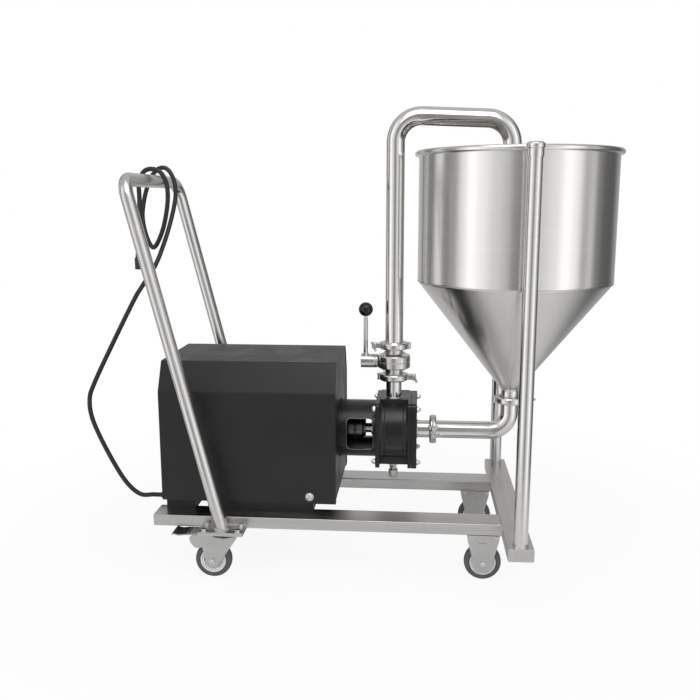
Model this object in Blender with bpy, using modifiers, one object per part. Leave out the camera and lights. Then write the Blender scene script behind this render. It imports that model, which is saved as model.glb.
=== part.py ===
"""Inline high shear homogenizer on a push cart, modelled in metres, +Z up.

The product falls from the hopper through an elbow into the pump, whose slotted
rotor turns inside a slotted stator, and goes up the swan neck back to the hopper.
+X points to the hopper end and -Y to the side with the cover's front wall.
Every place along the cart is worked out from the pump's outlet axis.
"""
import math

import bmesh
import bpy
from mathutils import Matrix, Vector

# Clearances
SEAT_GAP = 0.0003            # between two pieces that touch
RUNNING_GAP = 0.0012         # between rotor, stator and casing
CUT_OVERRUN = 0.004          # how far a cutter runs past the face that it cuts
JOIN_OVERLAP = 0.002         # how far two joined solids run into each other
MERGE_DISTANCE = 0.00001     # points closer than this are one

# Cart frame
DECK_HEIGHT = 0.173          # top of rails and cross beam
RAIL_WIDTH = 0.078
RAIL_HEIGHT = 0.0325
RAIL_WALL = 0.003
RAIL_EDGE_RADIUS = 0.0035
RAIL_HALF_SPACING = 0.172
RAIL_REACH = 0.664           # from the pump axis to the handle end of the rails
BEAM_WIDTH = 0.066
BEAM_HEIGHT = 0.034
BEAM_LENGTH = 0.732

# Hopper and its posts
HOPPER_WALL_OFFSET = 0.065   # from the pump axis to the hopper's wall
HOPPER_WALL = 0.003
HOPPER_RIM_HEIGHT = 1.1625   # middle of the rolled rim
HOPPER_RIM_RADIUS = 0.0075
HOPPER_RIM_OVERHANG = 0.004  # middle of the bead outside the wall
HOPPER_SHOULDER_HEIGHT = 0.814
HOPPER_NECK_LENGTH = 0.0315  # neck clamp to the cone's end
POST_DIAMETER = 0.037
POST_WALL = 0.002
POST_INSET = 0.023           # from the beam's end to the post's axis
POST_WALL_GAP = 0.074        # from the post's axis to the hopper's wall
SLEEVE_DIAMETER = 0.045
SLEEVE_LENGTH = 0.036
SLEEVE_RISE = 0.0085         # its top above the rim's middle
SLEEVE_CROWN = 0.006
SLEEVE_FLAT_SHARE = 0.6      # of the sleeve's radius, flat on top
BRACKET_THICKNESS = 0.010
BRACKET_HEIGHT = 0.024
BRACKET_DROP_SHARE = 1.5     # of the rim's radius, from its middle down to the arm
RIM_JOIN_SHARE = 1.15        # of the rim's radius, where the bead leaves the wall
SHEET_STEP_SHARE = 0.4       # of the wall, inner corner above the outer one

# Sanitary tube, ferrules and clamps
TUBE_DIAMETER = 0.051
TUBE_WALL = 0.002
PORT_DIAMETER = 0.045
FERRULE_DIAMETER = 0.064
FERRULE_THICKNESS = 0.0055
FERRULE_EDGE_SHARE = 0.55    # of its thickness, straight part of a ferrule's edge
GASKET_THICKNESS = 0.002
CLAMP_DIAMETER = 0.083
CLAMP_HEIGHT = 0.019
CLAMP_EDGE_SHARE = 0.75      # of its height, straight part of a clamp's edge
CLAMP_LIP_DIAMETER = 0.057
CLAMP_SLIT = 0.003
CLAMP_EAR_REACH = 0.064
CLAMP_EAR_THICKNESS = 0.008
CLAMP_EAR_HEIGHT = 0.015
CLAMP_BOLT_RADIUS = 0.003
CLAMP_BOLT_OFFSET = 0.058    # bolt axis from the tube axis
CLAMP_BOLT_TAIL = 0.034
KNUCKLE_RADIUS = 0.006
WING_HUB_RADIUS = 0.0065
WING_HUB_LENGTH = 0.010
WING_REACH = 0.0155
WING_LENGTH = 0.018
WING_THICKNESS = 0.003
WING_HUB_TAPER_SHARE = 0.8
WING_ROOT_SHARES = (0.15, 0.85)   # where a wing meets its hub
WING_SIDES = 10

# Pump
PUMP_AXIS_HEIGHT = 0.378
PUMP_FLANGE_SIZE = 0.190
PUMP_FLANGE_RADIUS = 0.016
PUMP_DRUM_DIAMETER = 0.178
PUMP_DRUM_LENGTH = 0.080
PUMP_BACK_FLANGE = 0.012
PUMP_RIM_FLANGE = 0.009
PUMP_FRONT_COVER = 0.016
PUMP_DRUM_MIDDLE = 0.003     # middle of the drum from the outlet axis
CHAMBER_DIAMETER = 0.140
CHAMBER_FLOOR = 0.016
STUD_PITCH = 0.156
STUD_NUT_RADIUS = 0.0075
STUD_NUT_LENGTH = 0.011
PORT_RISE = 0.0605           # pump flange top to the first clamp
INLET_REACH = 0.115          # pump axis to the inlet clamp
DRAIN_DIAMETER = 0.029
DRAIN_LENGTH = 0.016
DRAIN_HEX_RADIUS = 0.012
DRAIN_HEX_LENGTH = 0.010
DRAIN_BORE_SHARE = 0.5       # of the plug's diameter
PORT_CUT_SHARE = 0.33        # of the chamber's diameter, where a port's cutter starts
SHAFT_DIAMETER = 0.028
STATOR_DIAMETER = 0.112
STATOR_RING = 0.006
STATOR_LENGTH = 0.030
STATOR_SLOTS = 16
STATOR_SLOT = 0.006
ROTOR_RING = 0.006
ROTOR_LENGTH = 0.022
ROTOR_DISC = 0.010
ROTOR_TEETH = 8
ROTOR_SLOT = 0.009
SEAL_DIAMETER = 0.050
SEAL_LENGTH = 0.014
SEAL_STEP_SHARE = 0.8

# Lantern and coupling
LANTERN_DIAMETER = 0.166
LANTERN_WALL = 0.012
LANTERN_LENGTH = 0.124
LANTERN_FLANGE_DIAMETER = 0.200
LANTERN_FLANGE = 0.010
WINDOW_LENGTH = 0.076
WINDOW_HEIGHT = 0.092
WINDOW_CORNER = 0.014
WINDOW_MARGIN = 0.0072       # from the pump's flange to the window
COUPLING_DIAMETER = 0.070
COUPLING_LENGTH = 0.060
COUPLING_JAWS = 6
COUPLING_GROOVE = 0.010
COUPLING_NECK_SHARE = 0.86
COUPLING_NOSE_SHARE = 0.9
COUPLING_EDGE_SHARE = 0.85
JAW_WIDTH_SHARE = 0.4

# Butterfly valve
VALVE_SPAN = 0.092           # between its two clamps
VALVE_DIAMETER = 0.094
VALVE_HEIGHT = 0.039
VALVE_SHOULDER = 0.002
VALVE_FACE_SHARE = 0.88      # of its radius, flat part of its end faces
VALVE_EDGE_SHARE = 0.85      # of its height, straight part of its edge
VALVE_DISC_THICKNESS = 0.004
STEM_ENGAGEMENT = 0.0192     # stem's length inside the lever's hub
STEM_RADIUS = 0.006
LEVER_HUB_DIAMETER = 0.040
LEVER_HUB_LENGTH = 0.048
LEVER_ROD_DIAMETER = 0.0125
LEVER_ROD_OFFSET = 0.082     # rod from the outlet axis
LEVER_KNOB_HEIGHT = 0.150    # knob middle above the valve axis
LEVER_KNOB_DIAMETER = 0.041
KNOB_FLAT_SHARE = 0.47       # of its diameter, middle to the flat underneath
KNOB_STEPS = 8

# Swan neck
SWAN_TOP_HEIGHT = 1.268      # top run's axis over the riser
SWAN_FALL = 0.014            # top run falls this much towards the hopper
SWAN_BEND = 0.070
SWAN_INSET = 0.016           # from its hanging end to the hopper's axis
SWAN_DIP = 0.0505            # rim's middle down to its hanging end
ELBOW_BEND = 0.055
NECK_RISE = 0.0935           # pump axis to the neck clamp

# Motor, its base and cover
COVER_LENGTH = 0.493
COVER_END_OFFSET = 0.153     # pump axis to the pump end of the cover
COVER_HALF_WIDTH = 0.181
COVER_TOP_HALF_WIDTH = 0.139
COVER_BOTTOM_HEIGHT = 0.206
COVER_FOLD_RISE = 0.140      # pump axis to the cover's side folds
COVER_TOP_RISE = 0.221       # pump axis to its top
COVER_SHEET = 0.002
COVER_RETURN = 0.024
COVER_RELIEF = 0.008         # corner relief at its closed end
COVER_FOLD_SHARE = 0.45      # of the sheet, width of the folds' rounding
PANEL_INSET = 0.002
PANEL_CLEARANCE = 0.0006
PANEL_HOLE_CLEARANCE = 0.004
BASE_LENGTH = 0.288
BASE_START = 0.219           # pump axis to the pump end of the base
BASE_HALF_WIDTH = 0.163
BASE_SHEET = 0.005
SUPPORT_WIDTH = 0.084
SUPPORT_HALF_WIDTH = 0.160
SUPPORT_INSET = 0.006        # from the cover's handle end
MOTOR_DIAMETER = 0.226
MOTOR_FINS = 16
MOTOR_FIN_DEPTH = 0.010
FIN_SHARES = ((0.0, 1), (0.3, 1), (0.42, 0), (0.88, 0))   # pitch, and height
MOTOR_LENGTH = 0.270
MOTOR_END_SHIELD = 0.026
MOTOR_SHIELD_SHARE = 1.03
MOTOR_COWL_LENGTH = 0.070
MOTOR_COWL_WALL = 0.003
COWL_INLET_SHARE = 0.5
COWL_EDGE_SHARE = 0.08
MOTOR_FOOT_LENGTH = 0.050
MOTOR_FOOT_SPACING = 0.150
MOTOR_FOOT_HALF_WIDTH = 0.125
MOTOR_FOOT_THICKNESS = 0.014
MOTOR_LEG_WIDTH = 0.022
MOTOR_LEG_LENGTH = 0.046
MOTOR_SHAFT_DIAMETER = 0.032
TERMINAL_LENGTH = 0.110
TERMINAL_WIDTH = 0.120
TERMINAL_HEIGHT = 0.062
TERMINAL_SEAT = 0.014        # below the fins' tips

# Push handle
HANDLE_DIAMETER = 0.036
HANDLE_WALL = 0.002
HANDLE_FOOT_OFFSET = 0.461   # pump axis to the feet of the handle
HANDLE_TOP_OFFSET = 0.693    # pump axis to the top bar
HANDLE_TOP_HEIGHT = 1.092
HANDLE_HALF_WIDTH = 0.240
HANDLE_BEND = 0.048
HANDLE_DRAIN_RADIUS = 0.005
FOOT_PLATE_LENGTH = 0.124
FOOT_PLATE_REACH = 0.061     # out from the rail's side
FOOT_PLATE_THICKNESS = 0.0105

# Casters
WHEEL_DIAMETER = 0.102
TYRE_WIDTH = 0.030
TREAD_SHARE = 0.55           # of the tyre's width, flat on the floor
SHOULDER_SHARE = 0.35        # of half its width, down to the shoulder
HUB_DIAMETER = 0.072
HUB_WIDTH = 0.026
HUB_WEB = 0.008
HUB_RIM = 0.006
BOSS_RADIUS = 0.012
AXLE_RADIUS = 0.005
AXLE_HEAD_RADIUS = 0.009
AXLE_HEAD = 0.006
FORK_SHEET = 0.003
FORK_CLEARANCE = 0.003
CASTER_PLATE_LENGTH = 0.108
CASTER_PLATE_WIDTH = 0.080
CASTER_PLATE_SHEET = 0.004
CASTER_PLATE_CORNER = 0.010
FIXED_CASTER_SETBACK = 0.0795   # from the beam's axis to the rigid casters
FIXED_PLATE_LENGTH = 0.088
FIXED_FORK_TOP_HALF = 0.0435
FIXED_FORK_FOOT_RADIUS = 0.023
SWIVEL_OFFSET = 0.459
SWIVEL_HALF_SPACING = 0.215
SWIVEL_TRAIL = 0.034
SWIVEL_RACE_RADIUS = 0.029
SWIVEL_RACE_HEIGHT = 0.009
SWIVEL_RACE_CHAMFER = 0.002
SWIVEL_LIP_SHARE = 0.9       # of the crown's and race's radius
TAIL_REACH = 0.064           # from the axle out to the end of the fork's tail
TAIL_SLOPE_START = 0.048
TAIL_SLOPE = 0.006
TAIL_SHARES = ((1.22, 1.06), (0.98, 0.76), (0.78, 0.73), (0.55, 0.78))   # of the wheel's radius
SWIVEL_CROWN_RADIUS = 0.040
SWIVEL_FORK_FOOT_RADIUS = 0.020
PEDAL_LENGTH = 0.074
PEDAL_WIDTH = 0.054
PEDAL_SHEET = 0.003
PEDAL_START = 0.038          # from the axle to its inner end
PEDAL_PIVOT_OFFSET = 0.050   # from the axle to its pin
PEDAL_PIVOT_DROP = 0.010     # pin below the fork's top
PEDAL_PIVOT_RADIUS = 0.005
PEDAL_WEB_LENGTH = 0.012
PEDAL_SHARES = ((0.0, 0.0), (0.45, 0.0), (0.75, -0.04), (0.94, 0.02), (1.0, -0.02))

# Cord
CORD_DIAMETER = 0.013
BOOT_SPIGOT_RADIUS = 0.0095
BOOT_FLANGE_RADIUS = 0.0135
BOOT_FLANGE = 0.004
BOOT_TIP_RADIUS = 0.0085
BOOT_LENGTH = 0.034
BOOT_SIDE = -0.100           # its place across the cart
BOOT_SPIGOT_TAIL = 0.004     # spigot past the sheet
BOOT_NECK_SHARE = 0.85
PLUG_RADIUS = 0.019
PLUG_NECK_RADIUS = 0.011
PLUG_LENGTH = 0.060
PLUG_PIN_RADIUS = 0.0025
PLUG_PIN_LENGTH = 0.016
PLUG_PINS = 4
PLUG_COLLAR_SHARE = 0.45     # of its length, where the grip ends
PLUG_WAIST_SHARES = (0.86, 0.9)   # of its radius, and of the grip's length
PLUG_RECESS_SHARES = (0.8, 0.78)  # of its radius, and of its length

# Worked out places. The pump axis stands where the cart's box is centred.
POST_HALF_SPACING = BEAM_LENGTH / 2 - POST_INSET
HOPPER_DIAMETER = 2 * (POST_HALF_SPACING - POST_WALL_GAP)
HOPPER_RADIUS = HOPPER_DIAMETER / 2
HOPPER_OFFSET = HOPPER_RADIUS + HOPPER_WALL_OFFSET
FIXED_CASTER_OFFSET = HOPPER_OFFSET - FIXED_CASTER_SETBACK
SLEEVE_TOP_HEIGHT = HOPPER_RIM_HEIGHT + SLEEVE_RISE
SWAN_SPAN = HOPPER_OFFSET - SWAN_INSET
SWAN_END_HEIGHT = HOPPER_RIM_HEIGHT - SWAN_DIP
NECK_CLAMP_HEIGHT = PUMP_AXIS_HEIGHT + NECK_RISE
HOPPER_CONE_END_HEIGHT = NECK_CLAMP_HEIGHT + HOPPER_NECK_LENGTH
COVER_FOLD_HEIGHT = PUMP_AXIS_HEIGHT + COVER_FOLD_RISE
COVER_TOP_HEIGHT = PUMP_AXIS_HEIGHT + COVER_TOP_RISE
TUBE_RADIUS = TUBE_DIAMETER / 2
PORT_RADIUS = PORT_DIAMETER / 2
HANDLE_RADIUS = HANDLE_DIAMETER / 2
WHEEL_RADIUS = WHEEL_DIAMETER / 2
POST_RADIUS = POST_DIAMETER / 2
HANDLE_END = HANDLE_TOP_OFFSET + HANDLE_RADIUS
HOPPER_END = HOPPER_OFFSET + HOPPER_RADIUS + HOPPER_RIM_OVERHANG + HOPPER_RIM_RADIUS
PUMP_X = (HANDLE_END - HOPPER_END) / 2
HOPPER_X = PUMP_X + HOPPER_OFFSET
RAIL_BOTTOM = DECK_HEIGHT - RAIL_HEIGHT
FLANGE_HALF = PUMP_FLANGE_SIZE / 2
LOWER_CLAMP_HEIGHT = PUMP_AXIS_HEIGHT + FLANGE_HALF + PORT_RISE
UPPER_CLAMP_HEIGHT = LOWER_CLAMP_HEIGHT + VALVE_SPAN
VALVE_AXIS_HEIGHT = LOWER_CLAMP_HEIGHT + VALVE_SPAN / 2
JOINT_HALF = GASKET_THICKNESS / 2 + SEAT_GAP
DRUM_START = PUMP_X + PUMP_DRUM_MIDDLE - PUMP_DRUM_LENGTH / 2
DRUM_END = PUMP_X + PUMP_DRUM_MIDDLE + PUMP_DRUM_LENGTH / 2
HOUSING_BACK = DRUM_START - PUMP_BACK_FLANGE
HOUSING_FRONT = DRUM_END + PUMP_RIM_FLANGE
LANTERN_FRONT = HOUSING_BACK - SEAT_GAP
LANTERN_BACK = LANTERN_FRONT - LANTERN_LENGTH
COVER_END = PUMP_X - COVER_END_OFFSET
COVER_START = COVER_END - COVER_LENGTH

STEPS_ROUND = 20
POST_STEPS = 16
FACING_SHARE = 0.9           # cosine over which a face or edge points one way
BOW_SPACING = 3.0            # points along the cord's bow, in diameters
LOOP_SPACING = 2.0           # points along its loops, in diameters
LOOP_HEIGHT = 0.86           # the loops hang above this
CURVE_STEPS = 16

# The cord's route from the pump axis, chosen by hand: out of the boot, up in a
# bow beside the handle, twice over its top bar, and down to the plug.
CORD_ROUTE = [
    (-0.6740, -0.100, 0.1895), (-0.7000, -0.100, 0.1895), (-0.7401, -0.100, 0.1905),
    (-0.7832, -0.100, 0.2313), (-0.8324, -0.100, 0.3217), (-0.8699, -0.098, 0.4109),
    (-0.8778, -0.094, 0.4695), (-0.8645, -0.088, 0.5159), (-0.8146, -0.062, 0.6267),
    (-0.7540, -0.030, 0.7544), (-0.7321, -0.010, 0.7961), (-0.7037, 0.020, 0.8492),
    (-0.6850, 0.050, 0.9089), (-0.6696, 0.078, 0.9754), (-0.6585, 0.095, 1.0368),
    (-0.6577, 0.102, 1.0778), (-0.6673, 0.104, 1.1114), (-0.6840, 0.102, 1.1321),
    (-0.7055, 0.098, 1.1309), (-0.7265, 0.094, 1.1085), (-0.7398, 0.088, 1.0749),
    (-0.7481, 0.080, 1.0369), (-0.7511, 0.070, 0.9931), (-0.7423, 0.058, 0.9524),
    (-0.7272, 0.046, 0.9178), (-0.7113, 0.036, 0.9022), (-0.6934, 0.026, 0.9188),
    (-0.6729, 0.014, 0.9569), (-0.6566, 0.002, 1.0056), (-0.6477, -0.008, 1.0507),
    (-0.6494, -0.014, 1.0896), (-0.6629, -0.018, 1.1161), (-0.6849, -0.020, 1.1255),
    (-0.7090, -0.022, 1.1190), (-0.7235, -0.026, 1.0890), (-0.7227, -0.032, 1.0451),
    (-0.7217, -0.038, 1.0005), (-0.7205, -0.042, 0.9502), (-0.7203, -0.044, 0.9052),
]

X_AXIS = Vector((1, 0, 0))
Y_AXIS = Vector((0, 1, 0))
Z_AXIS = Vector((0, 0, 1))


def empty_scene():
    """Remove every object that the file holds."""
    for old in list(bpy.data.objects):
        bpy.data.objects.remove(old, do_unlink=True)


def new_collection(name):
    """Make a collection and link it to the scene."""
    group = bpy.data.collections.new(name)
    bpy.context.scene.collection.children.link(group)
    return group


def finish(name, colour, roughness, metallic):
    """Make a Principled material."""
    material = bpy.data.materials.new(name)
    material.use_nodes = True
    shader = material.node_tree.nodes["Principled BSDF"]
    shader.inputs["Base Color"].default_value = (*colour, 1.0)
    shader.inputs["Roughness"].default_value = roughness
    shader.inputs["Metallic"].default_value = metallic
    return material


empty_scene()
PARTS = new_collection("inline_high_shear_homogenizer")
CUTTERS = new_collection("cutters")

BRUSHED_STEEL = finish("brushed_stainless", (0.62, 0.61, 0.59), 0.32, 1.0)
POLISHED_STEEL = finish("polished_stainless", (0.72, 0.71, 0.69), 0.18, 1.0)
ZINC_STEEL = finish("zinc_plated_steel", (0.60, 0.59, 0.56), 0.42, 0.9)
BLACK_PAINT = finish("black_powder_coat", (0.022, 0.022, 0.024), 0.45, 0.0)
BLACK_GLOSS = finish("black_phenolic", (0.010, 0.010, 0.011), 0.12, 0.0)
GREY_RUBBER = finish("grey_rubber", (0.095, 0.095, 0.098), 0.7, 0.0)
GREY_NYLON = finish("light_grey_nylon", (0.62, 0.63, 0.64), 0.4, 0.0)
BLACK_RUBBER = finish("black_rubber", (0.015, 0.015, 0.016), 0.55, 0.0)


def put(name, mesh, material=None, matrix=None):
    """Make a mesh an object of the part, or a cutter where it has no material."""
    thing = bpy.data.objects.new(name, mesh)
    if material is None:
        CUTTERS.objects.link(thing)
        thing.hide_render = True
        thing.display_type = "WIRE"
    else:
        PARTS.objects.link(thing)
        mesh.materials.append(material)
    if matrix is not None:
        thing.matrix_world = matrix
    return thing


def mesh_from(name, shape, smooth_angle=math.radians(35)):
    """Turn a bmesh into a mesh with its round faces shaded smooth."""
    mesh = bpy.data.meshes.new(name)
    shape.to_mesh(mesh)
    shape.free()
    mesh.shade_smooth()
    mesh.set_sharp_from_angle(angle=smooth_angle)
    return mesh


def frame_at(place, up=Z_AXIS, side=None):
    """Matrix whose Z points along up and whose X points along side."""
    up = Vector(up).normalized()
    if side is None:
        side = X_AXIS if abs(up.dot(X_AXIS)) < math.cos(math.radians(45)) else Y_AXIS
    side = Vector(side)
    side = (side - up * side.dot(up)).normalized()
    third = up.cross(side)
    turn = Matrix((side, third, up)).transposed().to_4x4()
    return Matrix.Translation(Vector(place)) @ turn


def clear_bore(radius, sides=STEPS_ROUND):
    """Corner radius of a faceted bore whose flats clear a round piece."""
    return (radius + SEAT_GAP) / math.cos(math.pi / sides)


def block(name, size, middle, material=None, rounding=0, segments=2, matrix=None):
    """A box with its sizes along X, Y and Z, and rounded edges if wanted."""
    shape = bmesh.new()
    bmesh.ops.create_cube(shape, size=1)
    bmesh.ops.scale(shape, vec=Vector(size), verts=shape.verts)
    bmesh.ops.translate(shape, vec=Vector(middle), verts=shape.verts)
    if rounding:
        bmesh.ops.bevel(shape, geom=shape.edges[:], offset=rounding, segments=segments,
                        profile=0.5, affect="EDGES")
    return put(name, mesh_from(name, shape), material, matrix)


def rod(name, radius, length, middle, axis=Z_AXIS, material=None, sides=20):
    """A cylinder about its middle."""
    shape = bmesh.new()
    bmesh.ops.create_cone(shape, cap_ends=True, cap_tris=False, segments=sides,
                          radius1=radius, radius2=radius, depth=length)
    return put(name, mesh_from(name, shape), material, frame_at(middle, axis))


def turned(name, profile, place, axis=Z_AXIS, material=None, steps=STEPS_ROUND, ring=True):
    """A profile of (radius, height) turned about an axis with a Screw modifier.

    A ring's profile is a closed loop that runs down its outer side. Without
    ring the profile starts and ends on the axis, top first.
    """
    mesh = bpy.data.meshes.new(name)
    count = len(profile)
    edges = [(k, k + 1) for k in range(count - 1)]
    if ring:
        edges.append((count - 1, 0))
    mesh.from_pydata([(radius, 0, height) for radius, height in profile], edges, [])
    thing = put(name, mesh, material, frame_at(place, axis))
    screw = thing.modifiers.new("turn", "SCREW")
    screw.axis = "Z"
    screw.angle = math.tau
    screw.steps = steps
    screw.render_steps = steps
    screw.use_merge_vertices = True
    screw.merge_threshold = MERGE_DISTANCE
    screw.use_smooth_shade = True
    return thing


def combine(thing, other, operation):
    """Join or cut with an exact Boolean modifier."""
    step = thing.modifiers.new(operation.lower(), "BOOLEAN")
    step.operation = operation
    step.solver = "EXACT"
    step.object = other
    return thing


def join(thing, *others):
    """Join solids to a piece."""
    for other in others:
        combine(thing, other, "UNION")
    return thing


def cut(thing, *others):
    """Cut a piece with solids."""
    for other in others:
        combine(thing, other, "DIFFERENCE")
    return thing


def bent_route(corners, radius, steps=6):
    """Points along straight runs whose inner corners are arcs of one radius."""
    route = [Vector(corners[0])]
    for before, corner, after in zip(corners, corners[1:], corners[2:]):
        corner = Vector(corner)
        back = (Vector(before) - corner).normalized()
        ahead = (Vector(after) - corner).normalized()
        half = back.angle(ahead) / 2
        middle = corner + (back + ahead).normalized() * radius / math.sin(half)
        start = corner + back * radius / math.tan(half) - middle
        end = corner + ahead * radius / math.tan(half) - middle
        sweep = start.angle(end)
        for k in range(steps + 1):
            share = k / steps
            spoke = start * math.sin(sweep * (1 - share)) + end * math.sin(sweep * share)
            route.append(middle + spoke / math.sin(sweep))
    route.append(Vector(corners[-1]))
    return route


def tube_curve(name, route, radius, resolution, caps):
    """A poly curve with a round bevel."""
    curve = bpy.data.curves.new(name, "CURVE")
    curve.dimensions = "3D"
    curve.bevel_depth = radius
    curve.bevel_resolution = resolution
    curve.use_fill_caps = caps
    spline = curve.splines.new("POLY")
    spline.points.add(len(route) - 1)
    for point, place in zip(spline.points, route):
        point.co = (*place, 1)
    return curve


def mesh_of_curve(name, curve, material):
    """Read a curve as a mesh, weld its caps and put it in the curve's place."""
    guide = bpy.data.objects.new(name + "_guide", curve)
    CUTTERS.objects.link(guide)
    bpy.context.view_layer.update()
    ready = guide.evaluated_get(bpy.context.evaluated_depsgraph_get())
    mesh = bpy.data.meshes.new_from_object(ready)
    place = guide.matrix_world.copy()
    bpy.data.objects.remove(guide, do_unlink=True)
    shape = bmesh.new()
    shape.from_mesh(mesh)
    bmesh.ops.remove_doubles(shape, verts=shape.verts, dist=MERGE_DISTANCE)
    shape.to_mesh(mesh)
    shape.free()
    mesh.materials.clear()
    return put(name, mesh, material, place)


def hollow_tube(name, route, radius, wall, material, resolution=4):
    """An open tube along a route, with its wall given by Solidify."""
    curve = tube_curve(name, route, radius, resolution, caps=False)
    thing = mesh_of_curve(name, curve, material)
    shell = thing.modifiers.new("wall", "SOLIDIFY")
    shell.thickness = wall
    shell.offset = -1
    shell.use_even_offset = True
    return thing


def flat_plate(name, outline, thickness, matrix, material=None):
    """A flat outline of (x, y) points made a plate on both sides of its plane."""
    curve = bpy.data.curves.new(name, "CURVE")
    curve.dimensions = "2D"
    curve.fill_mode = "BOTH"
    curve.extrude = thickness / 2
    spline = curve.splines.new("POLY")
    spline.points.add(len(outline) - 1)
    for point, place in zip(spline.points, outline):
        point.co = (*place, 0, 1)
    spline.use_cyclic_u = True
    thing = mesh_of_curve(name, curve, material)
    thing.matrix_world = matrix
    return thing


def arc(middle, radius, start, end, steps):
    """Points on an arc between two angles in degrees."""
    turns = [math.radians(start + (end - start) * k / steps) for k in range(steps + 1)]
    return [(middle[0] + radius * math.cos(a), middle[1] + radius * math.sin(a)) for a in turns]


def rounded_rectangle(length, width, radius, steps=2):
    """Outline of a rectangle with round corners about its middle."""
    x = length / 2 - radius
    y = width / 2 - radius
    outline = arc((x, y), radius, 0, 90, steps) + arc((-x, y), radius, 90, 180, steps)
    return outline + arc((-x, -y), radius, 180, 270, steps) + arc((x, -y), radius, 270, 360, steps)


def box_tube(name, size, middle, material):
    """A rectangular tube along X with round long edges, open at its +X end."""
    shape = bmesh.new()
    bmesh.ops.create_cube(shape, size=1)
    bmesh.ops.scale(shape, vec=Vector(size), verts=shape.verts)
    bmesh.ops.translate(shape, vec=Vector(middle), verts=shape.verts)
    ways = {e: (e.verts[1].co - e.verts[0].co).normalized() for e in shape.edges}
    long_edges = [e for e, way in ways.items() if abs(way.x) > FACING_SHARE]
    bmesh.ops.bevel(shape, geom=long_edges, offset=RAIL_EDGE_RADIUS, segments=3, profile=0.5,
                    affect="EDGES")
    far_end = [f for f in shape.faces if f.normal.x > FACING_SHARE]
    bmesh.ops.delete(shape, geom=far_end, context="FACES")
    thing = put(name, mesh_from(name, shape), material)
    shell = thing.modifiers.new("wall", "SOLIDIFY")
    shell.thickness = RAIL_WALL
    shell.offset = -1
    shell.use_even_offset = True
    return thing


def make_frame():
    """Two rails, the cross beam that they meet, and the posts' sockets in it."""
    beam_side = HOPPER_X - BEAM_WIDTH / 2
    start = PUMP_X - RAIL_REACH
    end = beam_side - SEAT_GAP
    for name, side in (("front_rail", -1), ("rear_rail", 1)):
        middle = ((start + end) / 2, side * RAIL_HALF_SPACING, DECK_HEIGHT - RAIL_HEIGHT / 2)
        box_tube(name, (end - start, RAIL_WIDTH, RAIL_HEIGHT), middle, BRUSHED_STEEL)
    middle = (HOPPER_X, 0, DECK_HEIGHT - BEAM_HEIGHT / 2)
    beam = block("cross_beam", (BEAM_WIDTH, BEAM_LENGTH, BEAM_HEIGHT), middle, BRUSHED_STEEL,
                 RAIL_EDGE_RADIUS, 1)
    hollow = (BEAM_WIDTH - 2 * RAIL_WALL, BEAM_LENGTH - 2 * RAIL_WALL, BEAM_HEIGHT - 2 * RAIL_WALL)
    cut(beam, block("beam_hollow", hollow, middle))
    socket_length = BEAM_HEIGHT - RAIL_WALL + CUT_OVERRUN
    socket_middle = DECK_HEIGHT + CUT_OVERRUN - socket_length / 2
    for side in (-1, 1):
        place = (HOPPER_X, side * POST_HALF_SPACING, socket_middle)
        cut(beam, rod("post_socket", clear_bore(POST_RADIUS), socket_length, place))


def make_posts():
    """Two upright tubes from the beam's floor up into the hopper's sleeves."""
    bottom = DECK_HEIGHT - BEAM_HEIGHT + RAIL_WALL + SEAT_GAP
    top = SLEEVE_TOP_HEIGHT - SLEEVE_CROWN - SEAT_GAP
    inner = POST_RADIUS - POST_WALL
    profile = [(inner, top), (POST_RADIUS, top), (POST_RADIUS, bottom), (inner, bottom)]
    for name, side in (("front_post", -1), ("rear_post", 1)):
        turned(name, profile, (HOPPER_X, side * POST_HALF_SPACING, 0), Z_AXIS, BRUSHED_STEEL,
               POST_STEPS)


def make_hopper_brackets():
    """A sleeve over each post's top with an arm that meets the hopper's wall."""
    outer = SLEEVE_DIAMETER / 2
    inner = clear_bore(POST_RADIUS, POST_STEPS)
    roof = SLEEVE_TOP_HEIGHT - SLEEVE_CROWN
    bottom = SLEEVE_TOP_HEIGHT - SLEEVE_LENGTH
    profile = [(0, SLEEVE_TOP_HEIGHT), (outer * SLEEVE_FLAT_SHARE, SLEEVE_TOP_HEIGHT),
               (outer, roof), (outer, bottom), (inner, bottom), (inner, roof), (0, roof)]
    wall = HOPPER_RADIUS + SEAT_GAP
    arm_start = wall - CUT_OVERRUN
    arm_end = POST_HALF_SPACING - (inner + outer) / 2
    arm_size = (BRACKET_THICKNESS, arm_end - arm_start, BRACKET_HEIGHT)
    arm_height = HOPPER_RIM_HEIGHT - BRACKET_DROP_SHARE * HOPPER_RIM_RADIUS - BRACKET_HEIGHT / 2
    for name, side in (("front_hopper_bracket", -1), ("rear_hopper_bracket", 1)):
        place = Vector((HOPPER_X, side * POST_HALF_SPACING, 0))
        sleeve = turned(name, profile, place, Z_AXIS, BRUSHED_STEEL, POST_STEPS, ring=False)
        arm_middle = (HOPPER_X, side * (arm_start + arm_end) / 2, arm_height)
        join(sleeve, block("bracket_arm", arm_size, arm_middle))
        cut(sleeve, rod("hopper_room", wall, 2 * BRACKET_HEIGHT, (HOPPER_X, 0, arm_height),
                        sides=40))


def ferrule_outline(radius, face, inwards):
    """Outer side of a ferrule: neck, then flange, with its face at one height."""
    rim = FERRULE_DIAMETER / 2
    back = face + inwards * FERRULE_THICKNESS
    return [(radius, back), (rim, face + inwards * FERRULE_THICKNESS * FERRULE_EDGE_SHARE), (rim, face)]


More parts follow.
